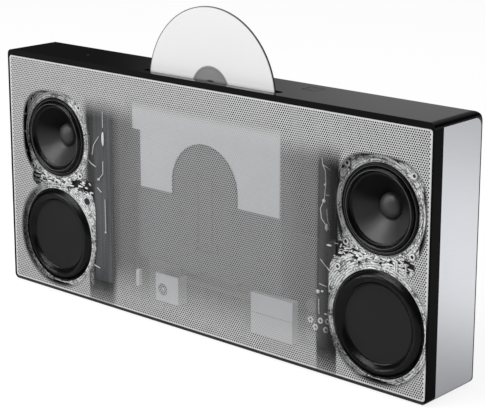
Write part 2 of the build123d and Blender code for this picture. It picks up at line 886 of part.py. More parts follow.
# Driver cones with their coil formers, dust caps, and the half-roll surrounds
cone_back = flange_front + cone_depth
coil_end = cone_back + coil_l
cone_slope = cone_depth / (driver_cone_r - surround_land - coil_r)
cap_rim_y = cone_back - (dust_cap_r - coil_r) * cone_slope
cap_sphere_r = (dust_cap_r**2 + dust_cap_rise**2) / (2 * dust_cap_rise)
for side, sign in (("left", -1), ("right", 1)):
    x = sign * speaker_x
    with BuildPart() as driver_cone:
        turned(
            x,
            driver_z,
            (
                (driver_cone_r, flange_front),
                (driver_cone_r, flange_front + cone_t),
                (driver_cone_r - surround_land, flange_front + cone_t),
                (coil_r + coil_wall, cone_back + cone_t),
                (coil_r + coil_wall, coil_end),
                (coil_r, coil_end),
                (coil_r, cone_back),
                (driver_cone_r - surround_land, flange_front),
            ),
        )
    driver_cone.part.label = f"{side}_driver_cone"
    export_step(driver_cone.part, f"parts/{side}_driver_cone.step")

    with BuildPart() as dust_cap:
        with BuildSketch(Plane.XY.offset(driver_z)):
            with BuildLine():
                rim = (x + dust_cap_r, cap_rim_y - cap_rim_gap)
                rim_back = (x + dust_cap_r - dust_cap_t, cap_rim_y - cap_rim_gap)
                top = (x, cap_rim_y - cap_rim_gap - dust_cap_rise)
                top_back = (x, cap_rim_y - cap_rim_gap - dust_cap_rise + dust_cap_t)
                RadiusArc(rim, top, cap_sphere_r)
                Line(top, top_back)
                RadiusArc(top_back, rim_back, -cap_sphere_r)
                Line(rim_back, rim)
            make_face()
        revolve(axis=Axis((x, 0, driver_z), (0, 1, 0)))
    dust_cap.part.label = f"{side}_dust_cap"
    export_step(dust_cap.part, f"parts/{side}_dust_cap.step")

    with BuildPart() as passive_disc:
        rod_along_y(x, passive_z, passive_disc_r, flange_front, flange_front + passive_disc_t)
        rod_along_y(x, passive_z, weight_r, flange_front, flange_front + weight_t)
        fillet(passive_disc.edges().filter_by(GeomType.CIRCLE).group_by(Axis.Y)[-1], weight_edge_r)
    passive_disc.part.label = f"{side}_passive_disc"
    export_step(passive_disc.part, f"parts/{side}_passive_disc.step")

    rolls = (
        ("driver_surround", driver_z, driver_cone_r, driver_rim_r),
        ("passive_surround", passive_z, passive_disc_r, passive_rim_r),
    )
    for kind, z, inner_r, outer_r in rolls:
        roll_mid = (inner_r + outer_r) / 2
        roll_r = (outer_r - inner_r) / 2
        with BuildPart() as surround:
            with BuildSketch(Plane.XY.offset(z)):
                with Locations((x + roll_mid, flange_front)):
                    Circle(roll_r + surround_t / 2)
                    Circle(roll_r - surround_t / 2, mode=Mode.SUBTRACT)
                with Locations((x + roll_mid, flange_front + roll_r)):
                    Rectangle(4 * roll_r, 2 * roll_r, mode=Mode.SUBTRACT)
                for land_mid in (inner_r - surround_land / 2, outer_r + surround_land / 2):
                    with Locations((x + land_mid, flange_front - surround_t / 2)):
                        Rectangle(surround_land, surround_t)
            revolve(axis=Axis((x, 0, z), (0, 1, 0)))
        surround.part.label = f"{side}_{kind}"
        export_step(surround.part, f"parts/{side}_{kind}.step")

# Passive frames: flange with a short barrel that centres it in the baffle
barrel_r = passive_hole_r - passive_pan_gap
barrel_mouth = barrel_r - passive_pan_wall
with BuildPart() as passive_frames:
    for x, z, reach in passive_places:
        unit_flange(x, z, passive_flange_r, passive_ear, reach, barrel_mouth)
        turned(
            x,
            z,
            (
                (barrel_mouth, baffle_front),
                (barrel_r, baffle_front),
                (barrel_r, baffle_back + passive_pan_wall),
                (barrel_mouth, baffle_back + passive_pan_wall),
            ),
        )
passive_frames.part.label = "passive_frames"
export_step(passive_frames.part, "parts/passive_frames.step")

# Speaker screws: one in every ear of the four units
with BuildPart() as speaker_screws:
    for x, z in unit_screws:
        rod_along_y(x, z, speaker_screw_head_r, flange_front - speaker_screw_head_t, flange_front)
        rod_along_y(x, z, speaker_screw_r, flange_front, flange_front + speaker_screw_l)
speaker_screws.part.label = "speaker_screws"
export_step(speaker_screws.part, "parts/speaker_screws.step")

# Disc, standing half out of the slot
with BuildPart() as disc:
    with BuildSketch(facing(disc_back)):
        with Locations((mech_x, disc_out_z)):
            Circle(disc_r)
            Circle(disc_bore_r, mode=Mode.SUBTRACT)
    extrude(amount=disc_t)
disc.part.label = "disc"
export_step(disc.part, "parts/disc.step")

# Gear train of the loading roller: roller gear, idler on its stud, and the pinion on the motor. The
# idler lies where both meshes close, on the front side of the line between the other two.
roller_to_idler = gear_module * (roller_teeth + idler_teeth) / 2
idler_to_pinion = gear_module * (idler_teeth + pinion_teeth) / 2
span = hypot(motor_y - roller_y, motor_z - roller_z)
span_angle = atan2(motor_z - roller_z, motor_y - roller_y)
spread = acos((roller_to_idler**2 + span**2 - idler_to_pinion**2) / (2 * roller_to_idler * span))
to_idler = span_angle - spread
idler_y = roller_y + roller_to_idler * cos(to_idler)
idler_z = roller_z + roller_to_idler * sin(to_idler)
to_pinion = atan2(motor_z - idler_z, motor_y - idler_y)


def meshed_phase(phase, teeth, direction, other_teeth):
    """Phase of the gear that lies in this direction from a first one and meshes with it."""
    part = ((direction - phase) / (2 * pi / teeth)) % 1
    return direction + pi + (part + 0.5) * 2 * pi / other_teeth


roller_phase = to_idler
idler_phase = meshed_phase(roller_phase, roller_teeth, to_idler, idler_teeth)
pinion_phase = meshed_phase(idler_phase, idler_teeth, to_pinion, pinion_teeth)


def train_gear(y, z, teeth, phase, bore_r):
    """One gear of the loading train, lying across X outside the chassis, with a round bore."""
    with BuildSketch(sideways(gear_x0)) as outline:
        with BuildLine():
            Polyline(*[(y + py, z + pz) for py, pz in gear_outline(teeth, phase)], close=True)
        make_face()
        if bore_r > 0:
            with Locations((y, z)):
                Circle(bore_r, mode=Mode.SUBTRACT)
    extrude(outline.sketch, amount=gear_w)


# Mechanism chassis: one folded steel sheet behind the disc, standing on two legs, with the pegs that
# the traverse frame and the cam slide run on and the stud of the idler gear
peg_places = [(mech_x + side * peg_x, z) for side in (-1, 1) for z in (peg_low, peg_high)]
cam_pegs = (cam_peg_left, cam_peg_right)
with BuildPart() as mechanism_chassis:
    slab(mech_left, mech_right, chassis_front, chassis_back, strip_low, mech_top)
    slab(
        mech_x - window_half,
        mech_x + window_half,
        chassis_front,
        chassis_back,
        strip_high,
        window_top,
        Mode.SUBTRACT,
    )
    slab(
        mech_x - roller_half - roller_end_gap,
        mech_x + roller_half + roller_end_gap,
        chassis_front,
        chassis_back,
        roller_z - roller_window_h / 2,
        roller_z + roller_window_h / 2,
        Mode.SUBTRACT,
    )
    for leg_x in (mech_left, mech_right - leg_w):
        slab(leg_x, leg_x + leg_w, chassis_front, chassis_back, base_top, strip_low)
        slab(leg_x, leg_x + leg_w, chassis_back, chassis_back + leg_foot_d, base_top, base_top + chassis_t)
    for flange_x in (mech_left, mech_right - chassis_t):
        slab(
            flange_x,
            flange_x + chassis_t,
            guide_back,
            chassis_back + chassis_flange_back,
            guide_low,
            mech_top,
        )
    slab(
        mech_right - chassis_t,
        mech_right,
        chassis_back,
        motor_y + motor_r + motor_margin,
        motor_z - motor_r - motor_margin,
        motor_z + motor_r + motor_margin,
    )
    rod_along_x(roller_y, roller_z, shaft_r + shaft_fit, mech_left, mech_right, Mode.SUBTRACT)
    rod_along_x(motor_y, motor_z, motor_hole_r, mech_right - chassis_t, mech_right, Mode.SUBTRACT)
    rod_along_x(idler_y, idler_z, shaft_r, mech_right - chassis_t, gear_x1 + gear_side_gap)
    for x, z in peg_places:
        rod_along_y(x, z, peg_r, chassis_back, chassis_back + peg_l)
    for x in cam_pegs:
        rod_along_y(x, cam_peg_z, peg_r, chassis_back, cam_back + cam_head_gap)
        rod_along_y(x, cam_peg_z, cam_head_r, cam_back + cam_head_gap, cam_back + cam_head_gap + cam_head_t)
mechanism_chassis.part.label = "mechanism_chassis"
export_step(mechanism_chassis.part, "parts/mechanism_chassis.step")

# Front disc guide: the grey plate in front of the disc, with the window and ears of the clamp arm
clamp_pin_y = guide_front + guide_t / 2 - clamp_pin_forward
ear_front = clamp_pin_y - clamp_barrel_r
with BuildPart() as disc_guide:
    slab(mech_left, mech_right, guide_front, guide_back, guide_low, mech_top)
    slab(
        mech_x - clamp_window_half,
        mech_x + clamp_window_half,
        guide_front,
        guide_back,
        clamp_pin_z - clamp_ear_h / 2,
        clamp_arm_top + clamp_ear_w,
        Mode.SUBTRACT,
    )
    for side in (-1, 1):
        near = mech_x + side * clamp_window_half
        far = mech_x + side * (clamp_window_half + clamp_ear_w)
        slab(
            min(near, far),
            max(near, far),
            ear_front,
            guide_front,
            clamp_pin_z - clamp_ear_h / 2,
            clamp_pin_z + clamp_ear_h / 2,
        )
    rod_along_x(
        clamp_pin_y,
        clamp_pin_z,
        clamp_pin_r + seat_fit,
        mech_x - clamp_pin_half,
        mech_x + clamp_pin_half,
        Mode.SUBTRACT,
    )
disc_guide.part.label = "disc_guide"
export_step(disc_guide.part, "parts/disc_guide.step")

# Arch plate: the bright sheet on the guide, cut out in an arch around the clamp
with BuildPart() as arch_plate:
    left = mech_x - arch_plate_left
    right = mech_x + arch_plate_right
    with BuildSketch(facing(guide_front)):
        with BuildLine():
            Polyline(
                (left, arch_plate_low),
                (mech_x - arch_r, arch_plate_low),
                (mech_x - arch_r, hub_z),
            )
            RadiusArc((mech_x - arch_r, hub_z), (mech_x, hub_z + arch_r), arch_r)
            RadiusArc((mech_x, hub_z + arch_r), (mech_x + arch_r, hub_z), arch_r)
            Polyline(
                (mech_x + arch_r, hub_z),
                (mech_x + arch_r, arch_plate_low),
                (right, arch_plate_low),
                (right, arch_plate_top),
                (left - arch_step, arch_plate_top),
                (left - arch_step, arch_step_z),
                (left, arch_step_z),
                (left, arch_plate_low),
            )
        make_face()
    extrude(amount=arch_plate_t)
arch_plate.part.label = "arch_plate"
export_step(arch_plate.part, "parts/arch_plate.step")

# Loading roller: a rubber sleeve, thinner in the middle so that it touches only the disc's rim
with BuildPart() as loading_roller:
    with BuildSketch(Plane.XY.offset(roller_z)):
        with BuildLine():
            Polyline(
                (mech_x - roller_half, roller_y + shaft_r + seat_fit),
                (mech_x - roller_half, roller_y + roller_end_r),
                (mech_x, roller_y + roller_mid_r),
                (mech_x + roller_half, roller_y + roller_end_r),
                (mech_x + roller_half, roller_y + shaft_r + seat_fit),
                close=True,
            )
        make_face()
    revolve(axis=Axis((0, roller_y, roller_z), (1, 0, 0)))
loading_roller.part.label = "loading_roller"
export_step(loading_roller.part, "parts/loading_roller.step")

with BuildPart() as roller_shaft:
    rod_along_x(roller_y, roller_z, shaft_r, mech_left - gear_side_gap, gear_x1 + gear_side_gap)
roller_shaft.part.label = "roller_shaft"
export_step(roller_shaft.part, "parts/roller_shaft.step")

with BuildPart() as roller_gear:
    train_gear(roller_y, roller_z, roller_teeth, roller_phase, shaft_r + seat_fit)
roller_gear.part.label = "roller_gear"
export_step(roller_gear.part, "parts/roller_gear.step")

with BuildPart() as idler_gear:
    train_gear(idler_y, idler_z, idler_teeth, idler_phase, shaft_r + shaft_fit)
idler_gear.part.label = "idler_gear"
export_step(idler_gear.part, "parts/idler_gear.step")

# Loading motor, flanged to the inside of the chassis, and its pinion with the motor's own shaft
motor_face = mech_right - chassis_t
with BuildPart() as loading_motor:
    rod_along_x(motor_y, motor_z, motor_r, motor_face - motor_l, motor_face)
    rod_along_x(
        motor_y,
        motor_z,
        motor_shaft_r + shaft_fit,
        motor_face - motor_bore_l,
        motor_face,
        Mode.SUBTRACT,
    )
loading_motor.part.label = "loading_motor"
export_step(loading_motor.part, "parts/loading_motor.step")

with BuildPart() as motor_pinion:
    train_gear(motor_y, motor_z, pinion_teeth, pinion_phase, 0)
    rod_along_x(motor_y, motor_z, motor_shaft_r, motor_face - motor_bore_l + gear_side_gap, gear_x0)
motor_pinion.part.label = "motor_pinion"
export_step(motor_pinion.part, "parts/motor_pinion.step")

# Clamp arm on its pin, and the puck that holds the disc on the turntable
arm_front = clamp_pin_y - clamp_arm_t / 2
arm_back = clamp_pin_y + clamp_arm_t / 2
puck_back = disc_front - puck_gap
puck_front = puck_back - puck_t
with BuildPart() as clamp_arm:
    slab(mech_x - clamp_arm_half, mech_x + clamp_arm_half, arm_front, arm_back, clamp_pin_z, clamp_arm_top)
    rod_along_x(
        clamp_pin_y,
        clamp_pin_z,
        clamp_barrel_r,
        mech_x - clamp_window_half + lifted_gap,
        mech_x + clamp_window_half - lifted_gap,
    )
    rod_along_x(
        clamp_pin_y,
        clamp_pin_z,
        clamp_pin_r + shaft_fit,
        mech_x - clamp_window_half,
        mech_x + clamp_window_half,
        Mode.SUBTRACT,
    )
clamp_arm.part.label = "clamp_arm"
export_step(clamp_arm.part, "parts/clamp_arm.step")

with BuildPart() as clamp_puck:
    rod_along_y(mech_x, hub_z, puck_r, puck_front, puck_back)
    rod_along_y(mech_x, hub_z, puck_boss_r, arm_back, puck_front)
    rod_along_y(mech_x, hub_z, puck_recess_r, puck_back - puck_recess_t, puck_back, Mode.SUBTRACT)
clamp_puck.part.label = "clamp_puck"
export_step(clamp_puck.part, "parts/clamp_puck.step")

with BuildPart() as clamp_pin:
    rod_along_x(clamp_pin_y, clamp_pin_z, clamp_pin_r, mech_x - clamp_pin_half, mech_x + clamp_pin_half)
clamp_pin.part.label = "clamp_pin"
export_step(clamp_pin.part, "parts/clamp_pin.step")

# Traverse frame: the plate that carries turntable, rods and lead screw, and slides on four pegs
screw_place = mech_x + screw_x
with BuildPart() as traverse_frame:
    slab(
        mech_x - traverse_half,
        mech_x + traverse_half,
        traverse_front,
        traverse_back,
        traverse_low,
        traverse_high,
    )
    slab(
        mech_x - pickup_window_half,
        mech_x + pickup_window_half,
        traverse_front,
        traverse_back,
        rod_low + rod_post,
        sled_z + sled_h / 2,
        Mode.SUBTRACT,
    )
    slab(
        screw_place - sled_motor_r - motor_cut_gap,
        screw_place + sled_motor_r + motor_cut_gap,
        traverse_front,
        traverse_back,
        sled_motor_z,
        sled_motor_z + sled_motor_l + motor_cut_gap,
        Mode.SUBTRACT,
    )
    for side in (-1, 1):
        x = mech_x + side * rod_x
        for z in (rod_low, rod_high - rod_post):
            slab(x - rod_post / 2, x + rod_post / 2, rod_y - rod_post / 2, traverse_front, z, z + rod_post)
        rod_along_z(x, rod_y, rod_r + seat_fit, rod_low, rod_high, Mode.SUBTRACT)
    slab(
        screw_place - screw_half,
        screw_place + screw_half,
        screw_y - screw_side_gap,
        traverse_front,
        bearing_low,
        bearing_high,
    )
    slab(
        screw_place - sled_motor_r - motor_cut_gap,
        screw_place + sled_motor_r + motor_cut_gap,
        screw_y - sled_motor_r,
        traverse_back,
        sled_motor_z - traverse_t,
        sled_motor_z,
    )
    rod_along_z(screw_place, screw_y, screw_r + screw_running_fit, screw_low, sled_motor_z, Mode.SUBTRACT)
    for x, z in peg_places:
        rod_along_y(x, z, peg_r + shaft_fit, traverse_front, traverse_back, Mode.SUBTRACT)
traverse_frame.part.label = "traverse_frame"
export_step(traverse_frame.part, "parts/traverse_frame.step")

# Turntable with its centring boss and shaft, and the flat spindle motor that turns it
with BuildPart() as turntable:
    rod_along_y(mech_x, hub_z, platter_r, platter_front, platter_back)
    rod_along_y(mech_x, hub_z, hub_boss_r, platter_front - hub_boss_t, platter_front)
    rod_along_y(mech_x, hub_z, spindle_shaft_r, platter_back, traverse_front - spindle_gap)
    chamfer(turntable.edges().filter_by(GeomType.CIRCLE).sort_by(Axis.Y)[0], hub_boss_t / 3)
turntable.part.label = "turntable"
export_step(turntable.part, "parts/turntable.step")

with BuildPart() as spindle_motor:
    rod_along_y(mech_x, hub_z, spindle_r, spindle_front, traverse_front)
    rod_along_y(mech_x, hub_z, spindle_shaft_r + shaft_fit, spindle_front, traverse_front, Mode.SUBTRACT)
spindle_motor.part.label = "spindle_motor"
export_step(spindle_motor.part, "parts/spindle_motor.step")

# Pick-up sled on two rods, with a nut that runs on the lead screw, and its lens
sled_low = sled_z - sled_h / 2
sled_top = sled_z + sled_h / 2
with BuildPart() as pickup_sled:
    slab(mech_x - sled_half, mech_x + sled_half, sled_front, sled_front + sled_t, sled_low, sled_top)
    slab(
        mech_x + sled_half,
        screw_place + screw_half,
        screw_y - screw_side_gap,
        screw_y + sled_nut_back,
        sled_z - sled_nut_h / 2,
        sled_z + sled_nut_h / 2,
    )
    for side in (-1, 1):
        rod_along_z(mech_x + side * rod_x, rod_y, rod_r + shaft_fit, sled_low, sled_top, Mode.SUBTRACT)
    rod_along_z(screw_place, screw_y, screw_r + screw_running_fit, sled_low, sled_top, Mode.SUBTRACT)
pickup_sled.part.label = "pickup_sled"
export_step(pickup_sled.part, "parts/pickup_sled.step")

with BuildPart() as pickup_lens:
    rod_along_y(mech_x, sled_z, lens_barrel_r, sled_front - lens_barrel_t, sled_front)
    fillet(pickup_lens.edges().filter_by(GeomType.CIRCLE).sort_by(Axis.Y)[0], lens_barrel_t / 2)
pickup_lens.part.label = "pickup_lens"
export_step(pickup_lens.part, "parts/pickup_lens.step")

with BuildPart() as guide_rods:
    for side in (-1, 1):
        rod_along_z(mech_x + side * rod_x, rod_y, rod_r, rod_low, rod_high)
guide_rods.part.label = "guide_rods"
export_step(guide_rods.part, "parts/guide_rods.step")

with BuildPart() as lead_screw:
    rod_along_z(screw_place, screw_y, screw_r, screw_low + screw_running_fit, sled_motor_z)
    shaft_end_z = sled_motor_z + motor_bore_l - gear_side_gap
    rod_along_z(screw_place, screw_y, motor_shaft_r, sled_motor_z, shaft_end_z)
lead_screw.part.label = "lead_screw"
export_step(lead_screw.part, "parts/lead_screw.step")

with BuildPart() as sled_motor:
    rod_along_z(screw_place, screw_y, sled_motor_r, sled_motor_z, sled_motor_z + sled_motor_l)
    rod_along_z(
        screw_place,
        screw_y,
        motor_shaft_r + shaft_fit,
        sled_motor_z,
        sled_motor_z + motor_bore_l,
        Mode.SUBTRACT,
    )
sled_motor.part.label = "sled_motor"
export_step(sled_motor.part, "parts/sled_motor.step")

# Cam slide: the flat bar under the traverse frame, with a rack along its lower edge
pitch = pi * gear_module
mode_pitch_r = gear_module * mode_teeth / 2
rack_line = mode_z + mode_pitch_r
cam_low = rack_line + tooth_depth_below
cam_left = mode_x + (2 - rack_teeth) * pitch
with BuildPart() as cam_slide:
    slab(cam_left, cam_right, cam_front, cam_back, cam_low, cam_low + cam_h)
    with BuildSketch(facing(cam_back)):
        for tooth in range(rack_teeth):
            middle = mode_x + (tooth + 2.5 - rack_teeth) * pitch
            with BuildLine():
                Polyline(
                    (middle - tooth_root_share * pitch, cam_low),
                    (middle - tooth_tip_share * pitch, rack_line - tooth_height_above),
                    (middle + tooth_tip_share * pitch, rack_line - tooth_height_above),
                    (middle + tooth_root_share * pitch, cam_low),
                    close=True,
                )
            make_face()
    extrude(amount=cam_t)
    with BuildSketch(facing(cam_back)):
        for x in cam_pegs:
            with Locations((x - cam_travel / 2, cam_peg_z)):
                SlotOverall(cam_travel + 2 * (peg_r + cam_slot_play), 2 * (peg_r + cam_slot_play))
    extrude(amount=cam_t, mode=Mode.SUBTRACT)
cam_slide.part.label = "cam_slide"
export_step(cam_slide.part, "parts/cam_slide.step")

# Mode motor in its bright bracket, and the pinion that drives the rack
mode_face = bracket_front + bracket_t
with BuildPart() as mode_motor:
    rod_along_y(mode_x, mode_z, mode_motor_r, mode_face, mode_face + mode_motor_l)
    rod_along_y(
        mode_x,
        mode_z,
        motor_shaft_r + shaft_fit,
        mode_face + mode_motor_l - mode_bore_l,
        mode_face + mode_motor_l,
        Mode.SUBTRACT,
    )
mode_motor.part.label = "mode_motor"
export_step(mode_motor.part, "parts/mode_motor.step")

with BuildPart() as mode_pinion:
    with BuildSketch(facing(cam_back)):
        with BuildLine():
            Polyline(
                *[(mode_x + px, mode_z + pz) for px, pz in gear_outline(mode_teeth, pi / 2)],
                close=True,
            )
        make_face()
    extrude(amount=cam_t)
    rod_along_y(
        mode_x,
        mode_z,
        motor_shaft_r,
        mode_face + mode_motor_l - mode_bore_l + gear_side_gap,
        cam_front,
    )
mode_pinion.part.label = "mode_pinion"
export_step(mode_pinion.part, "parts/mode_pinion.step")

with BuildPart() as mode_bracket:
    slab(bracket_left, bracket_right, bracket_front, chassis_front, bracket_low, bracket_high)
    slab(
        bracket_left + bracket_t,
        bracket_right - bracket_t,
        bracket_front + bracket_t,
        chassis_front,
        bracket_low + bracket_t,
        bracket_high,
        Mode.SUBTRACT,
    )
    rod_along_y(mode_x, mode_z, bracket_hole_r, bracket_front, mode_face, Mode.SUBTRACT)
mode_bracket.part.label = "mode_bracket"
export_step(mode_bracket.part, "parts/mode_bracket.step")

# Circuit boards: the main board with its chips, the power board, and the small one under the key
chips = (
    (26.0, 58.0, 16.0),
    (58.0, 68.0, 10.0),
    (34.0, 26.0, 12.0),
    (104.0, 66.0, 14.0),
    (138.0, 20.0, 18.0),
    (174.0, 16.0, 10.0),
)
with BuildPart() as circuit_boards:
    slab(
        -main_board_half,
        main_board_half,
        main_board_y,
        main_board_y + board_t,
        main_board_low,
        main_board_high,
    )
    for along, up, size in chips:
        x = along - main_board_half
        z = up + main_board_low
        slab(x - size / 2, x + size / 2, main_board_y - chip_h, main_board_y, z - size / 2, z + size / 2)
    slab(
        power_board_left,
        power_board_right,
        power_board_y,
        power_board_y + board_t,
        power_board_low,
        power_board_high,
    )
    slab(
        button_x - button_board_w / 2,
        button_x + button_board_w / 2,
        button_y - button_board_d / 2,
        button_y + button_board_d / 2,
        board_top - button_board_t,
        board_top,
    )
circuit_boards.part.label = "circuit_boards"
export_step(circuit_boards.part, "parts/circuit_boards.step")

with BuildPart() as capacitors:
    with BuildSketch(facing(power_board_y)):
        with Locations((cap_x, cap_z)):
            with GridLocations(cap_pitch, cap_pitch, 2, 3):
                Circle(cap_r)
    extrude(amount=cap_l)
capacitors.part.label = "capacitors"
export_step(capacitors.part, "parts/capacitors.step")

# Heat sink: an extruded block with upright fins on the back of the main board
with BuildPart() as heat_sink:
    slab(
        sink_x - sink_w / 2,
        sink_x + sink_w / 2,
        sink_front,
        sink_front + sink_base,
        sink_z - sink_h / 2,
        sink_z + sink_h / 2,
    )
    with BuildSketch(Plane.XY.offset(sink_z - sink_h / 2)):
        with Locations((sink_x, sink_front + sink_d / 2)):
            with GridLocations((sink_w - sink_fin_t) / (sink_fins - 1), 0, sink_fins, 1):
                Rectangle(sink_fin_t, sink_d)
    extrude(amount=sink_h)
heat_sink.part.label = "heat_sink"
export_step(heat_sink.part, "parts/heat_sink.step")

# Radio module: two shielding cans with a seam between them, on a plate that two posts hold off the
# right leg of the chassis
radio_front = front_y + radio_depth
radio_back = radio_front + radio_t
radio_plate_back = radio_back + radio_plate_t
with BuildPart() as radio_module:
    slab(radio_left, radio_right, radio_front, radio_back, radio_seam_z + radio_seam / 2, radio_high)
    slab(radio_left, radio_right, radio_front, radio_back, radio_low, radio_seam_z - radio_seam / 2)
    slab(radio_left, radio_right, radio_back, radio_plate_back, radio_low, radio_high)
    for z in (radio_post_low, radio_post_high):
        rod_along_y(mech_right - leg_w / 2, z, radio_post_r, radio_plate_back, chassis_front)
radio_module.part.label = "radio_module"
export_step(radio_module.part, "parts/radio_module.step")


def socket_block(x, half_w, half_h):
    """A socket body behind the rear wall, with a nose that fills its hole and stops just inside it."""
    slab(
        x - half_w - socket_flange,
        x + half_w + socket_flange,
        socket_back,
        inner_back,
        socket_z - half_h - socket_flange,
        socket_z + half_h + socket_flange,
    )


# Mains inlet with its two pins, and the signal sockets: network, headphone and antenna
with BuildPart() as mains_inlet:
    socket_face = back_y - socket_recess
    socket_block(inlet_x, inlet_w / 2 + socket_wall, inlet_h / 2 + socket_wall)
    slab(
        inlet_x - inlet_w / 2 - socket_wall,
        inlet_x + inlet_w / 2 + socket_wall,
        inner_back,
        socket_face,
        socket_z - inlet_h / 2 - socket_wall,
        socket_z + inlet_h / 2 + socket_wall,
    )
    with BuildSketch(facing(socket_face)):
        with Locations((inlet_x, socket_z)):
            SlotOverall(inlet_w, inlet_h)
    extrude(amount=inlet_deep, mode=Mode.SUBTRACT)
    for side in (-1, 1):
        rod_along_y(
            inlet_x + side * inlet_pin_x,
            socket_z,
            inlet_pin_r,
            socket_face - inlet_deep,
            socket_face - inlet_deep + inlet_pin_l,
        )
mains_inlet.part.label = "mains_inlet"
export_step(mains_inlet.part, "parts/mains_inlet.step")

with BuildPart() as signal_sockets:
    socket_block(network_x, network_w / 2 + socket_wall, network_h / 2 + socket_wall)
    slab(
        network_x - network_w / 2 - socket_wall,
        network_x + network_w / 2 + socket_wall,
        inner_back,
        socket_face,
        socket_z - network_h / 2 - socket_wall,
        socket_z + network_h / 2 + socket_wall,
    )
    slab(
        network_x - network_w / 2,
        network_x + network_w / 2,
        socket_face - network_deep,
        socket_face,
        socket_z - network_h / 2,
        socket_z + network_h / 2,
        Mode.SUBTRACT,
    )
    for x, radius, deep in ((audio_x, audio_r, audio_deep), (antenna_x, antenna_r, antenna_deep)):
        socket_block(x, radius + socket_wall, radius + socket_wall)
        rod_along_y(x, socket_z, radius + socket_wall, inner_back, socket_face)
        rod_along_y(x, socket_z, radius, socket_face - deep, socket_face, Mode.SUBTRACT)
signal_sockets.part.label = "signal_sockets"
export_step(signal_sockets.part, "parts/signal_sockets.step")
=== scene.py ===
from math import cos, pi, radians, sin

import bpy
import numpy as np
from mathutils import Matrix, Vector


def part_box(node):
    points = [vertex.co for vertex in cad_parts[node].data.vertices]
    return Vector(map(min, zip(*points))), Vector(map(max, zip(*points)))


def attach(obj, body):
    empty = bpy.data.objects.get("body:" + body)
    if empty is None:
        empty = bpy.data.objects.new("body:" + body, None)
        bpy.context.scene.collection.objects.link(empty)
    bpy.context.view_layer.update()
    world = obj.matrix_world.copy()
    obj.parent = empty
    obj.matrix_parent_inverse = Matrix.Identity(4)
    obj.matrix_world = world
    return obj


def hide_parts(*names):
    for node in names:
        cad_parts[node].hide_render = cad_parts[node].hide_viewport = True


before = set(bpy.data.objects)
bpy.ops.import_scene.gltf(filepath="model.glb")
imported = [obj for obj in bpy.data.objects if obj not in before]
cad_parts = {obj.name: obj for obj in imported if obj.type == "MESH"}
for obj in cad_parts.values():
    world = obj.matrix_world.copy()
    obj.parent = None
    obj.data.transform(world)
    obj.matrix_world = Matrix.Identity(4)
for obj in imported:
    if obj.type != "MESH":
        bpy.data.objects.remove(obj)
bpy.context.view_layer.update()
mm = 0.001

# Camera: it stands to the right of the front and a little above, about 1.1 m away, and looks down
# by 14 degrees. A long lens keeps the upright edges nearly parallel.
camera_place = (0.7344, -0.8114, 0.3984)
camera_turn = 41.38
camera_dip = 13.81
camera_roll = -0.05
camera_lens = 115.52
camera_shift = -0.100

camera_data = bpy.data.cameras.new("camera")
camera_data.lens = camera_lens
camera_data.sensor_width = 36.0
camera_data.shift_y = camera_shift
camera = bpy.data.objects.new("camera", camera_data)
camera.location = camera_place
camera.rotation_euler = (radians(90 - camera_dip), radians(camera_roll), radians(camera_turn))
bpy.context.scene.collection.objects.link(camera)
bpy.context.scene.camera = camera
bpy.context.scene.view_settings.view_transform = "Standard"


# Studio: a white room that gives even light, one large soft lamp above the front and a small one at
# its left. A bright card behind the case is what the right half of the glossy top mirrors.
def plain_node(tree, kind, **values):
    """One node of this kind, with the attributes and the unlinked inputs that are named."""
    node = tree.nodes.new(kind)
    for key, value in values.items():
        if hasattr(node, key):
            setattr(node, key, value)
        else:
            node.inputs[key.replace("_", " ")].default_value = value
    return node


def number(tree, operation, first, second=None, third=None, clamp=False):
    """The output of one Math node; a socket is linked and a number is typed in."""
    node = plain_node(tree, "ShaderNodeMath", operation=operation, use_clamp=clamp)
    for place, value in enumerate((first, second, third)):
        if isinstance(value, (int, float)):
            node.inputs[place].default_value = value
        elif value is not None:
            tree.links.new(value, node.inputs[place])
    return node.outputs[0]


def eased(tree, value, start, end, low=0.0, high=1.0):
    """The output of a Map Range node that turns start..end smoothly into low..high."""
    node = plain_node(tree, "ShaderNodeMapRange", interpolation_type="SMOOTHSTEP")
    node.inputs["From Min"].default_value = start
    node.inputs["From Max"].default_value = end
    node.inputs["To Min"].default_value = low
    node.inputs["To Max"].default_value = high
    tree.links.new(value, node.inputs["Value"])
    return node.outputs[0]


def object_axes(tree):
    """The Object coordinates as one socket, and their X, Y and Z as three."""
    place = tree.nodes.new("ShaderNodeTexCoord").outputs["Object"]
    split = tree.nodes.new("ShaderNodeSeparateXYZ")
    tree.links.new(place, split.inputs[0])
    return place, split.outputs["X"], split.outputs["Y"], split.outputs["Z"]


world_fill = 0.6
card_turn = 8.0
card_rise = 12.0
card_edge = 38.0
card_core = 26.0
card_gloss = 0.66
room_gloss = 0.03

world = bpy.data.worlds.new("studio")
bpy.context.scene.world = world
world.use_nodes = True
tree = world.node_tree
tree.nodes.clear()
path = tree.nodes.new("ShaderNodeLightPath")
direction = tree.nodes.new("ShaderNodeTexCoord")
card = plain_node(tree, "ShaderNodeVectorMath", operation="DOT_PRODUCT")
card.inputs[1].default_value = (
    -sin(radians(card_turn)) * cos(radians(card_rise)),
    cos(radians(card_turn)) * cos(radians(card_rise)),
    sin(radians(card_rise)),
)
tree.links.new(direction.outputs["Generated"], card.inputs[0])
mirrored = eased(
    tree,
    card.outputs["Value"],
    cos(radians(card_edge)),
    cos(radians(card_core)),
    room_gloss,
    card_gloss,
)
seen = number(tree, "MAXIMUM", path.outputs["Is Camera Ray"], path.outputs["Is Transmission Ray"])
glossy = number(tree, "MULTIPLY", path.outputs["Is Glossy Ray"], mirrored)
direct = number(tree, "ADD", seen, glossy, clamp=True)
soft = number(tree, "SUBTRACT", 1.0, path.outputs["Is Glossy Ray"])
soft = number(tree, "SUBTRACT", soft, seen, clamp=True)
level = number(tree, "MULTIPLY_ADD", soft, world_fill, direct)
background = plain_node(tree, "ShaderNodeBackground")
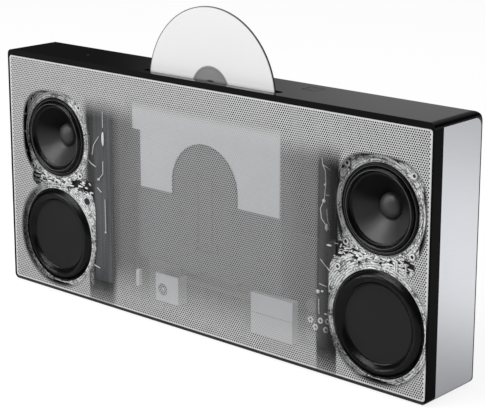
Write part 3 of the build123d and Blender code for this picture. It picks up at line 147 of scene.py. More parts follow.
tree.links.new(level, background.inputs["Strength"])
output = tree.nodes.new("ShaderNodeOutputWorld")
tree.links.new(background.outputs[0], output.inputs[0])


def soft_lamp(name, place, target, size, power):
    """A square area lamp at a place, aimed at a target."""
    data = bpy.data.lights.new(name, "AREA")
    data.size = size
    data.energy = power
    lamp = bpy.data.objects.new(name, data)
    lamp.location = place
    aim = np.array(target) - np.array(place)
    turn = np.arctan2(-aim[0], aim[1])
    tip = np.arctan2(np.hypot(aim[0], aim[1]), -aim[2])
    lamp.rotation_euler = (tip, 0.0, turn)
    bpy.context.scene.collection.objects.link(lamp)


soft_lamp("front_lamp", (-0.35, -1.15, 1.45), (0.0, 0.0, 0.1), 1.2, 18.5)
soft_lamp("left_lamp", (-0.95, -1.2, 0.40), (0.0, 0.0, 0.1), 0.5, 4.2)

# Floor: a pale sheet of paper just under the feet. Glossy pieces see it dim in front of the case,
# bright behind it and dim again far off; each band is two depths and the level at each.
floor_half = 6.0
floor_drop = 0.0002
floor_glow = 0.86
floor_diffuse = 0.2
floor_bounce = 0.45
near_band = (0.0, 0.24, 0.36, 1.12)
far_band = (0.38, 0.68, 0.0, 0.62)
floor_data = bpy.data.meshes.new("floor")
floor_corners = [
    (x * floor_half, y * floor_half, -floor_drop) for x, y in ((-1, -1), (1, -1), (1, 1), (-1, 1))
]
floor_data.from_pydata(floor_corners, [], [(0, 1, 2, 3)])
floor = bpy.data.objects.new("floor", floor_data)
bpy.context.scene.collection.objects.link(floor)
floor_paint = bpy.data.materials.new("floor_paint")
floor_paint.use_nodes = True
tree = floor_paint.node_tree
tree.nodes.clear()
path = tree.nodes.new("ShaderNodeLightPath")
matt = plain_node(tree, "ShaderNodeBsdfDiffuse", Color=(floor_diffuse,) * 3 + (1.0,))
glow = plain_node(tree, "ShaderNodeEmission", Color=(1.0, 1.0, 1.0, 1.0))
direct = number(tree, "MAXIMUM", path.outputs["Is Camera Ray"], path.outputs["Is Transmission Ray"])
depth = object_axes(tree)[2]
near = eased(tree, depth, *near_band)
mirrored = number(tree, "SUBTRACT", near, eased(tree, depth, *far_band), clamp=True)
mirrored = number(tree, "MULTIPLY", mirrored, path.outputs["Is Glossy Ray"])
direct = number(tree, "MAXIMUM", direct, mirrored)
diffuse_share = number(tree, "MULTIPLY", path.outputs["Is Diffuse Ray"], floor_bounce)
direct = number(tree, "ADD", direct, diffuse_share, clamp=True)
tree.links.new(number(tree, "MULTIPLY", direct, floor_glow), glow.inputs["Strength"])
both = tree.nodes.new("ShaderNodeAddShader")
tree.links.new(matt.outputs[0], both.inputs[0])
tree.links.new(glow.outputs[0], both.inputs[1])
output = tree.nodes.new("ShaderNodeOutputMaterial")
tree.links.new(both.outputs[0], output.inputs[0])
floor_data.materials.append(floor_paint)


# Black case: front frame, top cap and rear cover, moulded in black plastic with a fine spark
# texture. The cap is smoother, so that its top mirrors the room.
def grain_group():
    """Fine and slow noise on Object coordinates: colour and roughness that vary, and a height."""
    group = bpy.data.node_groups.new("surface_grain", "ShaderNodeTree")
    face = group.interface
    face.new_socket(name="Colour", in_out="INPUT", socket_type="NodeSocketColor")
    for name in ("Spread", "Scale", "Roughness", "Rough Spread"):
        face.new_socket(name=name, in_out="INPUT", socket_type="NodeSocketFloat")
    face.new_socket(name="Stretch", in_out="INPUT", socket_type="NodeSocketVector")
    face.new_socket(name="Colour", in_out="OUTPUT", socket_type="NodeSocketColor")
    face.new_socket(name="Roughness", in_out="OUTPUT", socket_type="NodeSocketFloat")
    face.new_socket(name="Height", in_out="OUTPUT", socket_type="NodeSocketFloat")
    given = group.nodes.new("NodeGroupInput")
    result = group.nodes.new("NodeGroupOutput")
    place = group.nodes.new("ShaderNodeTexCoord")
    stretched = plain_node(group, "ShaderNodeVectorMath", operation="MULTIPLY")
    group.links.new(place.outputs["Object"], stretched.inputs[0])
    group.links.new(given.outputs["Stretch"], stretched.inputs[1])
    fine = plain_node(group, "ShaderNodeTexNoise", Detail=3.0)
    group.links.new(stretched.outputs[0], fine.inputs["Vector"])
    group.links.new(given.outputs["Scale"], fine.inputs["Scale"])
    slow = plain_node(group, "ShaderNodeTexNoise", Detail=2.0)
    group.links.new(stretched.outputs[0], slow.inputs["Vector"])
    group.links.new(
        number(group, "MULTIPLY", given.outputs["Scale"], 0.06), slow.inputs["Scale"]
    )
    both = number(group, "ADD", fine.outputs["Fac"], slow.outputs["Fac"])
    swing = number(group, "SUBTRACT", both, 1.0)
    gain = number(group, "MULTIPLY_ADD", swing, given.outputs["Spread"], 1.0)
    tinted = plain_node(group, "ShaderNodeVectorMath", operation="SCALE")
    group.links.new(given.outputs["Colour"], tinted.inputs[0])
    group.links.new(gain, tinted.inputs["Scale"])
    group.links.new(tinted.outputs[0], result.inputs["Colour"])
    away = number(group, "SUBTRACT", slow.outputs["Fac"], 0.5)
    rough = number(
        group, "MULTIPLY_ADD", away, given.outputs["Rough Spread"], given.outputs["Roughness"]
    )
    group.links.new(rough, result.inputs["Roughness"])
    group.links.new(fine.outputs["Fac"], result.inputs["Height"])
    return group


surface_grain = grain_group()


def finish(
    name,
    colour,
    roughness=0.5,
    metallic=0.0,
    spread=0.15,
    scale=1500.0,
    rough_spread=0.1,
    bump=0.00002,
    stretch=(1.0, 1.0, 1.0),
    **plain,
):
    """A material whose colour, roughness and height come from the grain group. The plain inputs
    are typed in on the shader's own sockets."""
    made = bpy.data.materials.new(name)
    made.use_nodes = True
    tree = made.node_tree
    shader = tree.nodes["Principled BSDF"]
    shader.inputs["Metallic"].default_value = metallic
    for key, value in plain.items():
        shader.inputs[key.replace("_", " ")].default_value = value
    if isinstance(colour, (int, float)):
        colour = (colour,) * 3
    grain = tree.nodes.new("ShaderNodeGroup")
    grain.name = "grain"
    grain.node_tree = surface_grain
    grain.inputs["Colour"].default_value = (*colour, 1.0)
    grain.inputs["Spread"].default_value = spread
    grain.inputs["Scale"].default_value = scale
    grain.inputs["Roughness"].default_value = roughness
    grain.inputs["Rough Spread"].default_value = rough_spread
    grain.inputs["Stretch"].default_value = stretch
    raised = plain_node(tree, "ShaderNodeBump", Distance=bump)
    tree.links.new(grain.outputs["Colour"], shader.inputs["Base Color"])
    tree.links.new(grain.outputs["Roughness"], shader.inputs["Roughness"])
    tree.links.new(grain.outputs["Height"], raised.inputs["Height"])
    tree.links.new(raised.outputs[0], shader.inputs["Normal"])
    return made


def dress(material, *nodes):
    """Gives the material to every slot of the CAD nodes that are named."""
    for node in nodes:
        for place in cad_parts[node].material_slots:
            place.material = material


case_black = finish(
    "case_black", 0.003, 0.38, scale=2500.0, bump=0.00001, Specular_IOR_Level=0.03
)
cap_black = finish(
    "cap_black",
    0.003,
    0.12,
    scale=2500.0,
    rough_spread=0.03,
    bump=0.000002,
    Specular_IOR_Level=0.12,
)
back_black = finish("back_black", 0.02, 0.5, scale=1800.0, spread=0.2, bump=0.00003)
dress(case_black, "front_frame")
dress(back_black, "rear_cover")
dress(cap_black, "top_panel")

# Slot lips: two strips of black felt, glued under the edges of the slot. They wipe the disc and
# keep dust out.
dress(finish("lip_felt", 0.01, 0.95, scale=4000.0, bump=0.0001, Sheen_Weight=0.4), "slot_lips")

# Button and lamp: a black key that stands flush in the top, a silicone dome under it, and a small
# clear lens for the status lamp.
dress(finish("key_black", 0.008, 0.3, scale=3000.0, bump=0.000005), "eject_button")
dress(finish("dome_silicone", 0.35, 0.6, scale=800.0), "button_spring")
dress(
    finish("lamp_smoke", 0.25, 0.15, scale=600.0, bump=0.0, Transmission_Weight=0.6),
    "status_lens",
)

# Side panels: two sheets of satin anodised aluminium pressed onto the sides of the case. Their
# edges turn round the corners, and the black band of the case shows in front of them.
side_satin = finish(
    "side_satin",
    (0.79, 0.80, 0.84),
    0.30,
    metallic=0.92,
    spread=0.05,
    scale=900.0,
    rough_spread=0.06,
    bump=0.000004,
    stretch=(1.0, 0.06, 1.0),
)
dress(side_satin, "left_side_panel", "right_side_panel")

# Base: a painted steel plate, screwed under the case, with four soft rubber feet pressed into it.
# Black screws hold it and the rear cover.
dress(finish("base_paint", 0.012, 0.5, scale=1200.0), "bottom_plate")
dress(finish("foot_soft", 0.02, 0.85, scale=1800.0, bump=0.00005), "rubber_feet")
dress(finish("screw_zinc_black", 0.05, 0.35, metallic=0.8, scale=2000.0), "case_screws")


# Grille: one sheet of perforated aluminium over the whole front, with a folded rim. The photograph
# is drawn with clear windows in it round the four units and a half clear one in the middle.
def shape(name, points, faces, body="case", material=None, smooth=True):
    """A new piece from points in millimetres and faces, which rides on a body."""
    data = bpy.data.meshes.new(name)
    faces = faces.tolist() if isinstance(faces, np.ndarray) else faces
    data.from_pydata((np.asarray(points) * mm).tolist(), [], faces)
    if smooth:
        data.shade_smooth()
    piece = bpy.data.objects.new(name, data)
    bpy.context.scene.collection.objects.link(piece)
    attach(piece, body)
    if material:
        data.materials.append(material)
    return piece


grille_low, grille_high = (np.array(corner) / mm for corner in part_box("front_grille"))
hole_pitch = 1.8
hole_half_w = 0.74
hole_half_h = 0.82
grille_margin = 1.6
grille_corner = 2.5
fold_depth = 0.75
least_area = 1e-4


def perforated_sheet(low, high, y):
    """A staggered lattice of diamond holes in the plane at y. Each hole has four corners, and three
    quads join it to its right, upper right and upper left neighbours; holes near the edge are
    filled, and every point is then held inside the rounded rectangle low..high."""
    row_pitch = hole_pitch * cos(radians(30))
    columns = int((high[0] - low[0]) / hole_pitch) + 4
    rows = int((high[1] - low[1]) / row_pitch) + 4
    j, i = np.meshgrid(np.arange(rows), np.arange(columns), indexing="ij")
    middle = (np.array(low) + high) / 2
    x = middle[0] + hole_pitch * (i - columns / 2 + 0.5 * (j % 2))
    z = middle[1] + row_pitch * (j - rows / 2)
    reach = np.array([(-1, 0), (1, 0), (0, -1), (0, 1)])
    xs = x[..., None] + reach[:, 0] * hole_half_w
    zs = z[..., None] + reach[:, 1] * hole_half_h
    inset = np.minimum.reduce([x - low[0], high[0] - x, z - low[1], high[1] - z])
    corner_x = np.clip(xs, low[0], high[0])
    corner_z = np.clip(zs, low[1], high[1])
    away_x = np.abs(corner_x - middle[0]) - ((high[0] - low[0]) / 2 - grille_corner)
    away_z = np.abs(corner_z - middle[1]) - ((high[1] - low[1]) / 2 - grille_corner)
    outside = np.hypot(np.maximum(away_x, 0), np.maximum(away_z, 0))
    past_corner = (away_x > 0) & (away_z > 0) & (outside > grille_corner)
    pull = np.where(past_corner, grille_corner / np.maximum(outside, 1e-9), 1.0)
    corner_x = corner_x - np.sign(corner_x - middle[0]) * np.maximum(away_x, 0) * (1 - pull)
    corner_z = corner_z - np.sign(corner_z - middle[1]) * np.maximum(away_z, 0) * (1 - pull)
    points = np.stack([corner_x, np.full_like(corner_x, y), corner_z], -1).reshape(-1, 3)
    first = (j * columns + i) * 4
    left, right, down, up = (first + k for k in range(4))
    odd = j % 2
    inner = (slice(1, -1), slice(1, -1))
    upper_right = ((j + 1) * columns + i + odd) * 4
    upper_left = ((j + 1) * columns + i - 1 + odd) * 4
    lower_right = ((j - 1) * columns + i + odd) * 4
    next_right = first + 4
    quads = [
        np.stack([right, upper_right + 2, upper_right, up], -1)[inner],
        np.stack([up, upper_left + 1, upper_left + 2, left], -1)[inner],
        np.stack([right, lower_right + 3, next_right, upper_right + 2], -1)[inner],
    ]
    faces = np.concatenate([quad.reshape(-1, 4) for quad in quads])
    filled = np.stack([left, down, right, up], -1)[inner][(inset < grille_margin)[inner]]
    faces = np.concatenate([faces, filled])
    corners = points[faces]
    diagonal_a = corners[:, 2] - corners[:, 0]
    diagonal_b = corners[:, 3] - corners[:, 1]
    area = np.abs(diagonal_a[:, 0] * diagonal_b[:, 2] - diagonal_a[:, 2] * diagonal_b[:, 0]) / 2
    return points, faces[area > least_area]


def rounded_outline(low, high, radius, steps=8):
    """The corners of a rounded rectangle in X and Z, anticlockwise as the front is seen."""
    turns = np.linspace(0, pi / 2, steps)
    arcs = []
    for quarter, (side_x, side_z) in enumerate(((1, -1), (1, 1), (-1, 1), (-1, -1))):
        angle = turns + (quarter - 1) * pi / 2
        centre_x = (high[0] - radius) if side_x > 0 else (low[0] + radius)
        centre_z = (high[1] - radius) if side_z > 0 else (low[1] + radius)
        arc_x = centre_x + radius * np.cos(angle)
        arc_z = centre_z + radius * np.sin(angle)
        arcs.append(np.stack([arc_x, arc_z], -1))
    return np.concatenate(arcs)


def ring_faces(rings, steps):
    """The quads between closed rings of points: each joins points n and n + 1 of one ring to the
    same two points of the next ring."""
    ring, turn = np.meshgrid(np.arange(rings - 1), np.arange(steps), indexing="ij")
    here, there = ring * steps + turn, ring * steps + (turn + 1) % steps
    return np.stack([here, here + steps, there + steps, there], -1).reshape(-1, 4)


def carried(path, profile_y, offset):
    """A band that carries the depths profile_y along a closed outline in X and Z; each ring is
    moved in towards the middle by its offset."""
    centre = path.mean(0)
    rings = []
    for depth, inward in zip(profile_y, offset):
        pulled = path - np.sign(path - centre) * inward
        rings.append(np.stack([pulled[:, 0], np.full(len(path), depth), pulled[:, 1]], -1))
    return np.concatenate(rings), ring_faces(len(rings), len(path))


# Clear windows: the ramp's stops are x and clearness; an oval is the x and z of its middle, its
# half width and height, and its power. An edge gives the oval's sum, 1 on its outline, where it
# starts to fade and where it has faded. The foot, drop and head are heights in metres.
window_half = 203
window_stops = (
    (-203, 0.0),
    (-119, 0.0),
    (-113, 0.92),
    (-92, 0.88),
    (-78, 0.50),
    (-40, 0.40),
    (74, 0.40),
    (90, 0.44),
    (109, 0.50),
    (112, 0.86),
    (127, 0.98),
    (131, 0.0),
)
unit_windows = (
    (-150.6, 125.8, 37.2, 36.2, 2.8),
    (161.8, 126.0, 37.2, 36.4, 3.0),
    (-150.6, 46.4, 42.4, 41.8, 2.1),
    (161.8, 46.4, 42.4, 41.8, 2.1),
    (-130.0, 74.0, 21.0, 16.0, 5.0),
    (137.0, 74.0, 19.0, 16.0, 5.0),
    (-142.0, 90.5, 36.0, 9.0, 3.0),
    (154.0, 90.5, 37.0, 9.0, 3.0),
)
middle_window = (2.0, 82.0, 118.0, 84.0, 12.0)
unit_edge = (0.84, 1.08)
middle_edge = (0.3, 1.2)
window_foot = (0.010, 0.044)
column_drop = 0.022
window_head = (0.146, 0.166)


def grey_ramp(tree, value, stops, first, span):
    """The colour of a ramp of greys; a stop at x stands at (x - first) / span of its length."""
    ramp = tree.nodes.new("ShaderNodeValToRGB")
    tree.links.new(value, ramp.inputs["Fac"])
    places = ramp.color_ramp.elements
    while len(places) < len(stops):
        places.new(0.5)
    for place, (x, grey) in zip(places, stops):
        place.position = (x - first) / span
        place.color = (grey, grey, grey, 1.0)
    return ramp.outputs["Color"]


def window_group():
    """How far the grille is drawn clear, worked out on Object coordinates in metres. Bars: a ramp
    across the front, held between two heights, or a soft power oval round each unit and between
    two units. Cloth: the same ovals, and the middle up to a little under the arch plate's top."""
    group = bpy.data.node_groups.new("clear_windows", "ShaderNodeTree")
    face = group.interface
    face.new_socket(name="Bars", in_out="OUTPUT", socket_type="NodeSocketFloat")
    face.new_socket(name="Cloth", in_out="OUTPUT", socket_type="NodeSocketFloat")
    result = group.nodes.new("NodeGroupOutput")
    _, across, _, upward = object_axes(group)

    def power_sum(x, z, half_w, half_h, power):
        right = number(group, "DIVIDE", number(group, "SUBTRACT", across, x * mm), half_w * mm)
        above = number(group, "DIVIDE", number(group, "SUBTRACT", upward, z * mm), half_h * mm)
        right = number(group, "POWER", number(group, "ABSOLUTE", right), power)
        above = number(group, "POWER", number(group, "ABSOLUTE", above), power)
        return number(group, "ADD", right, above)

    units = None
    for window in unit_windows:
        clear = eased(group, power_sum(*window), *unit_edge, 1.0, 0.0)
        units = clear if units is None else number(group, "MAXIMUM", units, clear)
    share = number(group, "ADD", across, window_half * mm)
    share = number(group, "DIVIDE", share, 2 * window_half * mm)
    column = grey_ramp(group, share, window_stops, -window_half, 2 * window_half)
    in_duct = eased(group, column, 0.6, 0.8)
    raised = number(group, "MULTIPLY_ADD", in_duct, column_drop, upward)
    column = number(group, "MULTIPLY", column, eased(group, raised, *window_foot))
    column = number(group, "MULTIPLY", column, eased(group, upward, *window_head, 1.0, 0.0))
    group.links.new(number(group, "MAXIMUM", units, column), result.inputs["Bars"])
    middle = eased(group, power_sum(*middle_window), *middle_edge, 1.0, 0.0)
    group.links.new(number(group, "MAXIMUM", units, middle), result.inputs["Cloth"])
    return group


clear_windows = window_group()


def windowed(material, layer):
    """Links the material's Alpha to one layer of the windows."""
    tree = material.node_tree
    windows = tree.nodes.new("ShaderNodeGroup")
    windows.node_tree = clear_windows
    tree.links.new(
        number(tree, "SUBTRACT", 1.0, windows.outputs[layer]),
        tree.nodes["Principled BSDF"].inputs["Alpha"],
    )
    return material


grille_silver = windowed(
    finish("grille_silver", 0.74, 0.4, metallic=0.2, spread=0.06, scale=700.0, bump=0.000004),
    "Bars",
)
sheet_low = (grille_low[0], grille_low[2])
sheet_high = (grille_high[0], grille_high[2])
sheet_points, sheet_faces = perforated_sheet(sheet_low, sheet_high, grille_low[1])
rim = rounded_outline(sheet_low, sheet_high, grille_corner)
fold_points, fold_faces = carried(rim, [grille_low[1], grille_low[1] + fold_depth], [0, 0])
grille = shape(
    "perforated_grille",
    np.concatenate([sheet_points, fold_points]),
    np.concatenate([sheet_faces, fold_faces + len(sheet_points)]),
    material=grille_silver,
    smooth=False,
)
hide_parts("front_grille")

# Cloth behind the grille: thin black acoustic cloth, stretched flat and glued to the back of the
# sheet, 1 mm in from its edges.
cloth_black = windowed(
    finish("cloth_black", 0.006, 0.95, scale=3500.0, bump=0.00004, Specular_IOR_Level=0.1), "Cloth"
)


def flat_grid(low, high, y, across, upward):
    """A flat grid in X and Z at one depth, facing the front."""
    rows = np.linspace(low[1], high[1], upward + 1)
    columns = np.linspace(low[0], high[0], across + 1)
    z, x = np.meshgrid(rows, columns, indexing="ij")
    points = np.stack([x, np.full_like(x, y), z], -1).reshape(-1, 3)
    k = (np.arange(upward)[:, None] * (across + 1) + np.arange(across)).reshape(-1)
    return points, np.stack([k, k + 1, k + across + 2, k + across + 1], -1)


cloth_inset = 1.0
cloth_y = grille_high[1] - 0.1
cloth_low = np.array(sheet_low) + cloth_inset
cloth_high = np.array(sheet_high) - cloth_inset
cloth_points, cloth_faces = flat_grid(cloth_low, cloth_high, cloth_y, 40, 18)
cloth = shape("acoustic_cloth", cloth_points, cloth_faces, material=cloth_black)

# Disc: 120 mm of clear plastic with a silvered layer, a clear ring round the hole and a thin dark
# edge. It stands half out of the slot.
disc_low, disc_high = (np.array(corner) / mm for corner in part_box("disc"))
disc_x = (disc_low[0] + disc_high[0]) / 2
disc_z = (disc_low[2] + disc_high[2]) / 2
disc_r = 60.0
ring_stops = (
    (0.0, 0.05),
    (7.8, 0.05),
    (8.1, 0.26),
    (16.0, 0.24),
    (16.4, 0.14),
    (17.0, 0.30),
    (17.6, 0.22),
    (18.2, 0.86),
    (58.8, 0.88),
    (59.2, 0.80),
    (59.6, 0.06),
)


def axis_distance(tree, across, upward):
    """The distance from an axis in millimetres: the root of across squared plus upward squared."""
    square = number(tree, "MULTIPLY", across, across)
    square = number(tree, "MULTIPLY_ADD", upward, upward, square)
    return number(tree, "DIVIDE", number(tree, "SQRT", square), mm)


disc_silver = finish("disc_silver", 0.9, 0.3, metallic=0.1, spread=0.02, scale=200.0, bump=0.0)
tree = disc_silver.node_tree
_, across, _, upward = object_axes(tree)
across = number(tree, "SUBTRACT", across, disc_x * mm)
upward = number(tree, "SUBTRACT", upward, disc_z * mm)
share = number(tree, "DIVIDE", axis_distance(tree, across, upward), disc_r)
rings = grey_ramp(tree, share, ring_stops, 0.0, disc_r)
tree.links.new(rings, tree.nodes["grain"].inputs["Colour"])
dress(disc_silver, "disc")


# Active drivers: a varnished paper cone, a domed dust cap and a flattened rubber roll with a raised
# gasket round it, glued to the frame. All are surfaces of revolution about an axis to the front.
def turned(name, profile, x, z, body="case", material=None, steps=96):
    """A profile of radius and depth, from the middle out, carried round the axis at x and z."""
    profile = np.asarray(profile, float)
    angle = np.linspace(0, 2 * pi, steps, endpoint=False)
    radius, depth = profile[:, 0][:, None], profile[:, 1][:, None]
    points = np.stack(
        [
            x + radius * np.cos(angle),
            np.broadcast_to(depth, (len(profile), steps)),
            z + radius * np.sin(angle),
        ],
        -1,
    ).reshape(-1, 3)
    faces = ring_faces(len(profile), steps)
    if profile[0, 0] == 0:
        points = points[steps - 1 :]
        faces = np.maximum(faces - (steps - 1), 0)
        fan = [list(dict.fromkeys(face)) for face in faces[:steps].tolist()]
        faces = fan + faces[steps:].tolist()
    return shape(name, points, faces, body, material)


def arc(radius_mid, depth_mid, radius, start, end, count):
    """Points of a circle in the radius and depth plane, from one angle to the other."""
    angle = np.linspace(start, end, count)
    return [(radius_mid + radius * cos(a), depth_mid - radius * sin(a)) for a in angle]


speaker_x = 156.5
driver_z = 123.5
flange_y = -19.0
coil_r = 9.3
glue_r = 23.6
cone_depth = 11.6
cone_bow = 1.08
cap_r = 8.6
cap_tip_y = -12.0
cap_depth = 4.6
painted_shade_turn = (-0.3, 0.25)
cone_paper = finish(
    "cone_paper",
    0.004,
    0.52,
    scale=900.0,
    rough_spread=0.12,
    Specular_IOR_Level=0.12,
    Coat_Roughness=0.52,
    Coat_IOR=1.8,
)
# Painted shade: the coat is taken away where the cone faces down, above its cap, so that part is
# drawn darker, as if in shade.
tree = cone_paper.node_tree
facing = tree.nodes.new("ShaderNodeNewGeometry")
upright = tree.nodes.new("ShaderNodeSeparateXYZ")
tree.links.new(facing.outputs["Normal"], upright.inputs[0])
painted_shade_coat = eased(tree, upright.outputs["Z"], *painted_shade_turn)
tree.links.new(painted_shade_coat, tree.nodes["Principled BSDF"].inputs["Coat Weight"])
cap_paper = finish(
    "cap_paper", 0.02, 0.5, scale=1300.0, rough_spread=0.05, bump=0.00001, Specular_IOR_Level=1.0
)
roll_rubber = finish(
    "roll_rubber",
    0.003,
    0.26,
    scale=600.0,
    rough_spread=0.06,
    bump=0.000008,
    Specular_IOR_Level=0.25,
)
# Painted highlight: this grey is for the two thin lines of light drawn on each driver's surround.
painted_highlight_grey = finish("painted_highlight_grey", 0.12, 0.35, scale=900.0, bump=0.000004)
ring_silver = finish("ring_silver", 0.8, 0.3, metallic=0.3, scale=500.0, bump=0.000004)

for side, x in (("left", -speaker_x), ("right", speaker_x)):
    # cone: from the coil forward to the glue line, slightly bowed
    share = np.linspace(0, 1, 14)
    cone_r = coil_r + share * (glue_r - coil_r)
    cone_y = flange_y + cone_depth * (1 - share) ** cone_bow
    cone_profile = [(0.0, flange_y + 12.8), (8.9, flange_y + 12.7)] + list(zip(cone_r, cone_y))
    cone_profile += [(24.2, flange_y - 0.15), (24.9, flange_y - 0.5)]
    cone = turned(
        f"{side}_cone_skin", cone_profile, x, driver_z, f"{side}_cone", cone_paper
    )
    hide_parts(f"{side}_driver_cone")
    # dust cap: a quarter of an ellipse that drops steeply to its rim
    lean = np.linspace(0, 1, 12) * pi / 2
    dome = [(cap_r * sin(t), cap_tip_y + cap_depth * (1 - cos(t))) for t in lean]
    dome += [(cap_r + 0.3, cap_tip_y + 5.1)]
    cap = turned(f"{side}_dome_cap", dome, x, driver_z, f"{side}_cone", cap_paper, 64)
    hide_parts(f"{side}_dust_cap")
    # surround: inner land, a flattened roll, a groove and the raised gasket ring round it
    roll = [(23.2, flange_y - 0.1), (24.0, flange_y - 0.5), (24.5, flange_y - 0.6)]
    share = np.linspace(0.02, 0.98, 17)
    roll += [(24.7 + 4.0 * t, flange_y - 0.6 - 2.4 * sin(pi * t) ** 0.8) for t in share]
    roll += [(28.9, flange_y - 0.4), (29.2, flange_y - 0.9), (29.4, flange_y - 1.5)]
    roll += [(29.8, flange_y - 1.75), (30.6, flange_y - 1.75)]
    roll += [(31.1, flange_y - 1.4), (31.3, flange_y - 0.1)]
    surround = turned(f"{side}_driver_roll", roll, x, driver_z, "case", roll_rubber)
    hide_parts(f"{side}_driver_surround")
    # painted highlights: two thin grey lines, between the roll and the gasket and on the roll's
    # crest, stand for lines of light on the rubber
    for at, depth in ((26.3, 3.0), (29.25, 1.25)):
        highlight_line = arc(at, flange_y - depth, 0.2, pi, 0, 5)
        turned(f"{side}_driver_highlight_line_{at:.0f}", highlight_line, x, driver_z, "case", painted_highlight_grey)
    # edge lines of the frame: thin bright beads round the gasket and at the rim of the flange
    for at, bead in ((31.6, 0.3), (33.4, 0.22), (35.6, 0.35)):
        edge = arc(at, flange_y - 0.1, bead, pi, 0, 7)
        name = f"{side}_driver_bead_{at:.0f}"
        turned(name, edge, x, driver_z, "case", ring_silver)

# Passive radiators: a flat black plate glued to a thick rubber roll, which is clamped in a pan
# with a bright thin rim.
passive_z = 44.0
plate_black = finish(
    "plate_black", 0.016, 0.75, scale=1600.0, bump=0.00001, Specular_IOR_Level=0.25
)
for side, x in (("left", -speaker_x), ("right", speaker_x)):
    plate = [(0.0, flange_y - 0.05), (12.0, flange_y - 0.05), (26.5, flange_y - 0.05)]
    plate += [(27.3, flange_y - 0.1), (27.7, flange_y + 0.1)]
    face = turned(
        f"{side}_plate_face", plate, x, passive_z, f"{side}_passive", plate_black
    )
    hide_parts(f"{side}_passive_disc")
    roll = [(26.9, flange_y - 0.3), (27.6, flange_y - 0.45)]
    share = np.linspace(0.02, 0.98, 27)
    roll += [(28.0 + 9.0 * t, flange_y - 0.4 - 3.0 * sin(pi * t) ** 0.75) for t in share]
    roll += [(37.2, flange_y - 0.5), (37.7, flange_y - 0.3)]
    surround = turned(
        f"{side}_passive_roll", roll, x, passive_z, "case", roll_rubber
    )
    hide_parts(f"{side}_passive_surround")
    for at, bead in ((38.1, 0.35), (39.3, 0.2), (40.2, 0.3)):
        edge = arc(at, flange_y - 0.1, bead, pi, 0, 7)
        name = f"{side}_passive_bead_{at:.0f}"
        turned(name, edge, x, passive_z, "case", ring_silver)


# Speaker frames, baffles and boxes: frosted clear plastic frames, screwed to dark moulded boxes. A
# ribbed bezel round each unit is moulded in one piece with the frame's square ears.
def painted_streaks_group():
    """Dark lines painted on clear plastic, on Object coordinates: painted reflections and shade
    that stand for the light and dark seen in the ridged clear plastic.
    Rings: a sine of the distance from the unit's axis, bent by noise. Crackle: the edges of small
    cells. Noise chooses between the two."""
    group = bpy.data.node_groups.new("painted_streaks", "ShaderNodeTree")
    face = group.interface
    face.new_socket(name="Axis Height", in_out="INPUT", socket_type="NodeSocketFloat")
    face.new_socket(name="Colour", in_out="OUTPUT", socket_type="NodeSocketColor")
    face.new_socket(name="Height", in_out="OUTPUT", socket_type="NodeSocketFloat")
    given = group.nodes.new("NodeGroupInput")
    result = group.nodes.new("NodeGroupOutput")
    place, across, _, upward = object_axes(group)
    across = number(group, "SUBTRACT", number(group, "ABSOLUTE", across), speaker_x * mm)
    upward = number(group, "SUBTRACT", upward, given.outputs["Axis Height"])
    radius = axis_distance(group, across, upward)
    bend = plain_node(group, "ShaderNodeTexNoise", Scale=110.0, Detail=2.0)
    fine = plain_node(group, "ShaderNodeTexNoise", Scale=900.0, Detail=2.0)
    cells = plain_node(group, "ShaderNodeTexVoronoi", feature="DISTANCE_TO_EDGE", Scale=520.0)
    for texture in (bend, fine, cells):
        group.links.new(place, texture.inputs["Vector"])
    phase = number(group, "MULTIPLY", radius, 3.6)
    phase = number(group, "MULTIPLY_ADD", bend.outputs["Fac"], 11.0, phase)
    rings = eased(group, number(group, "SINE", phase), 0.15, 0.85)
    crackle = eased(group, cells.outputs["Distance"], 0.03, 0.16, 1.0, 0.0)
    chosen = eased(group, bend.outputs["Fac"], 0.44, 0.56)
    crackle = number(group, "MULTIPLY", crackle, chosen)
    dark = number(group, "MAXIMUM", number(group, "MULTIPLY", rings, 0.7), crackle)
    speckle = eased(group, fine.outputs["Fac"], 0.35, 0.65, -0.35, 0.25)
    dark = number(group, "ADD", dark, speckle, clamp=True)
    shades = group.nodes.new("ShaderNodeValToRGB")
    shades.color_ramp.elements[0].color = (0.94, 0.95, 0.96, 1.0)
    shades.color_ramp.elements[1].color = (0.05, 0.05, 0.055, 1.0)
    group.links.new(dark, shades.inputs["Fac"])
    group.links.new(shades.outputs["Color"], result.inputs["Colour"])
    group.links.new(number(group, "SUBTRACT", 1.0, dark), result.inputs["Height"])
    return group


painted_streaks = painted_streaks_group()


def clear_plastic(name, axis_height):
    """Frosted clear plastic: the grain finish, coloured by the painted streaks of reflection and
    shade and raised by them.
    """
    made = finish(name, 0.8, 0.18, scale=650.0, rough_spread=0.2, bump=0.0007)
    tree = made.node_tree
    streaks = tree.nodes.new("ShaderNodeGroup")
    streaks.node_tree = painted_streaks
    streaks.inputs["Axis Height"].default_value = axis_height * mm
    tree.links.new(streaks.outputs["Colour"], tree.nodes["grain"].inputs["Colour"])
    tree.links.new(streaks.outputs["Height"], tree.nodes["Bump"].inputs["Height"])
    return made


# The frames' dark streaks are painted reflections and shade, not marks in the plastic.
driver_clear = clear_plastic("driver_clear", driver_z)
passive_clear = clear_plastic("passive_clear", passive_z)
dress(driver_clear, "driver_frames")
dress(passive_clear, "passive_frames")

bezel_side = 198.6
bezel_floor = 5.4
ear_power = 7.0


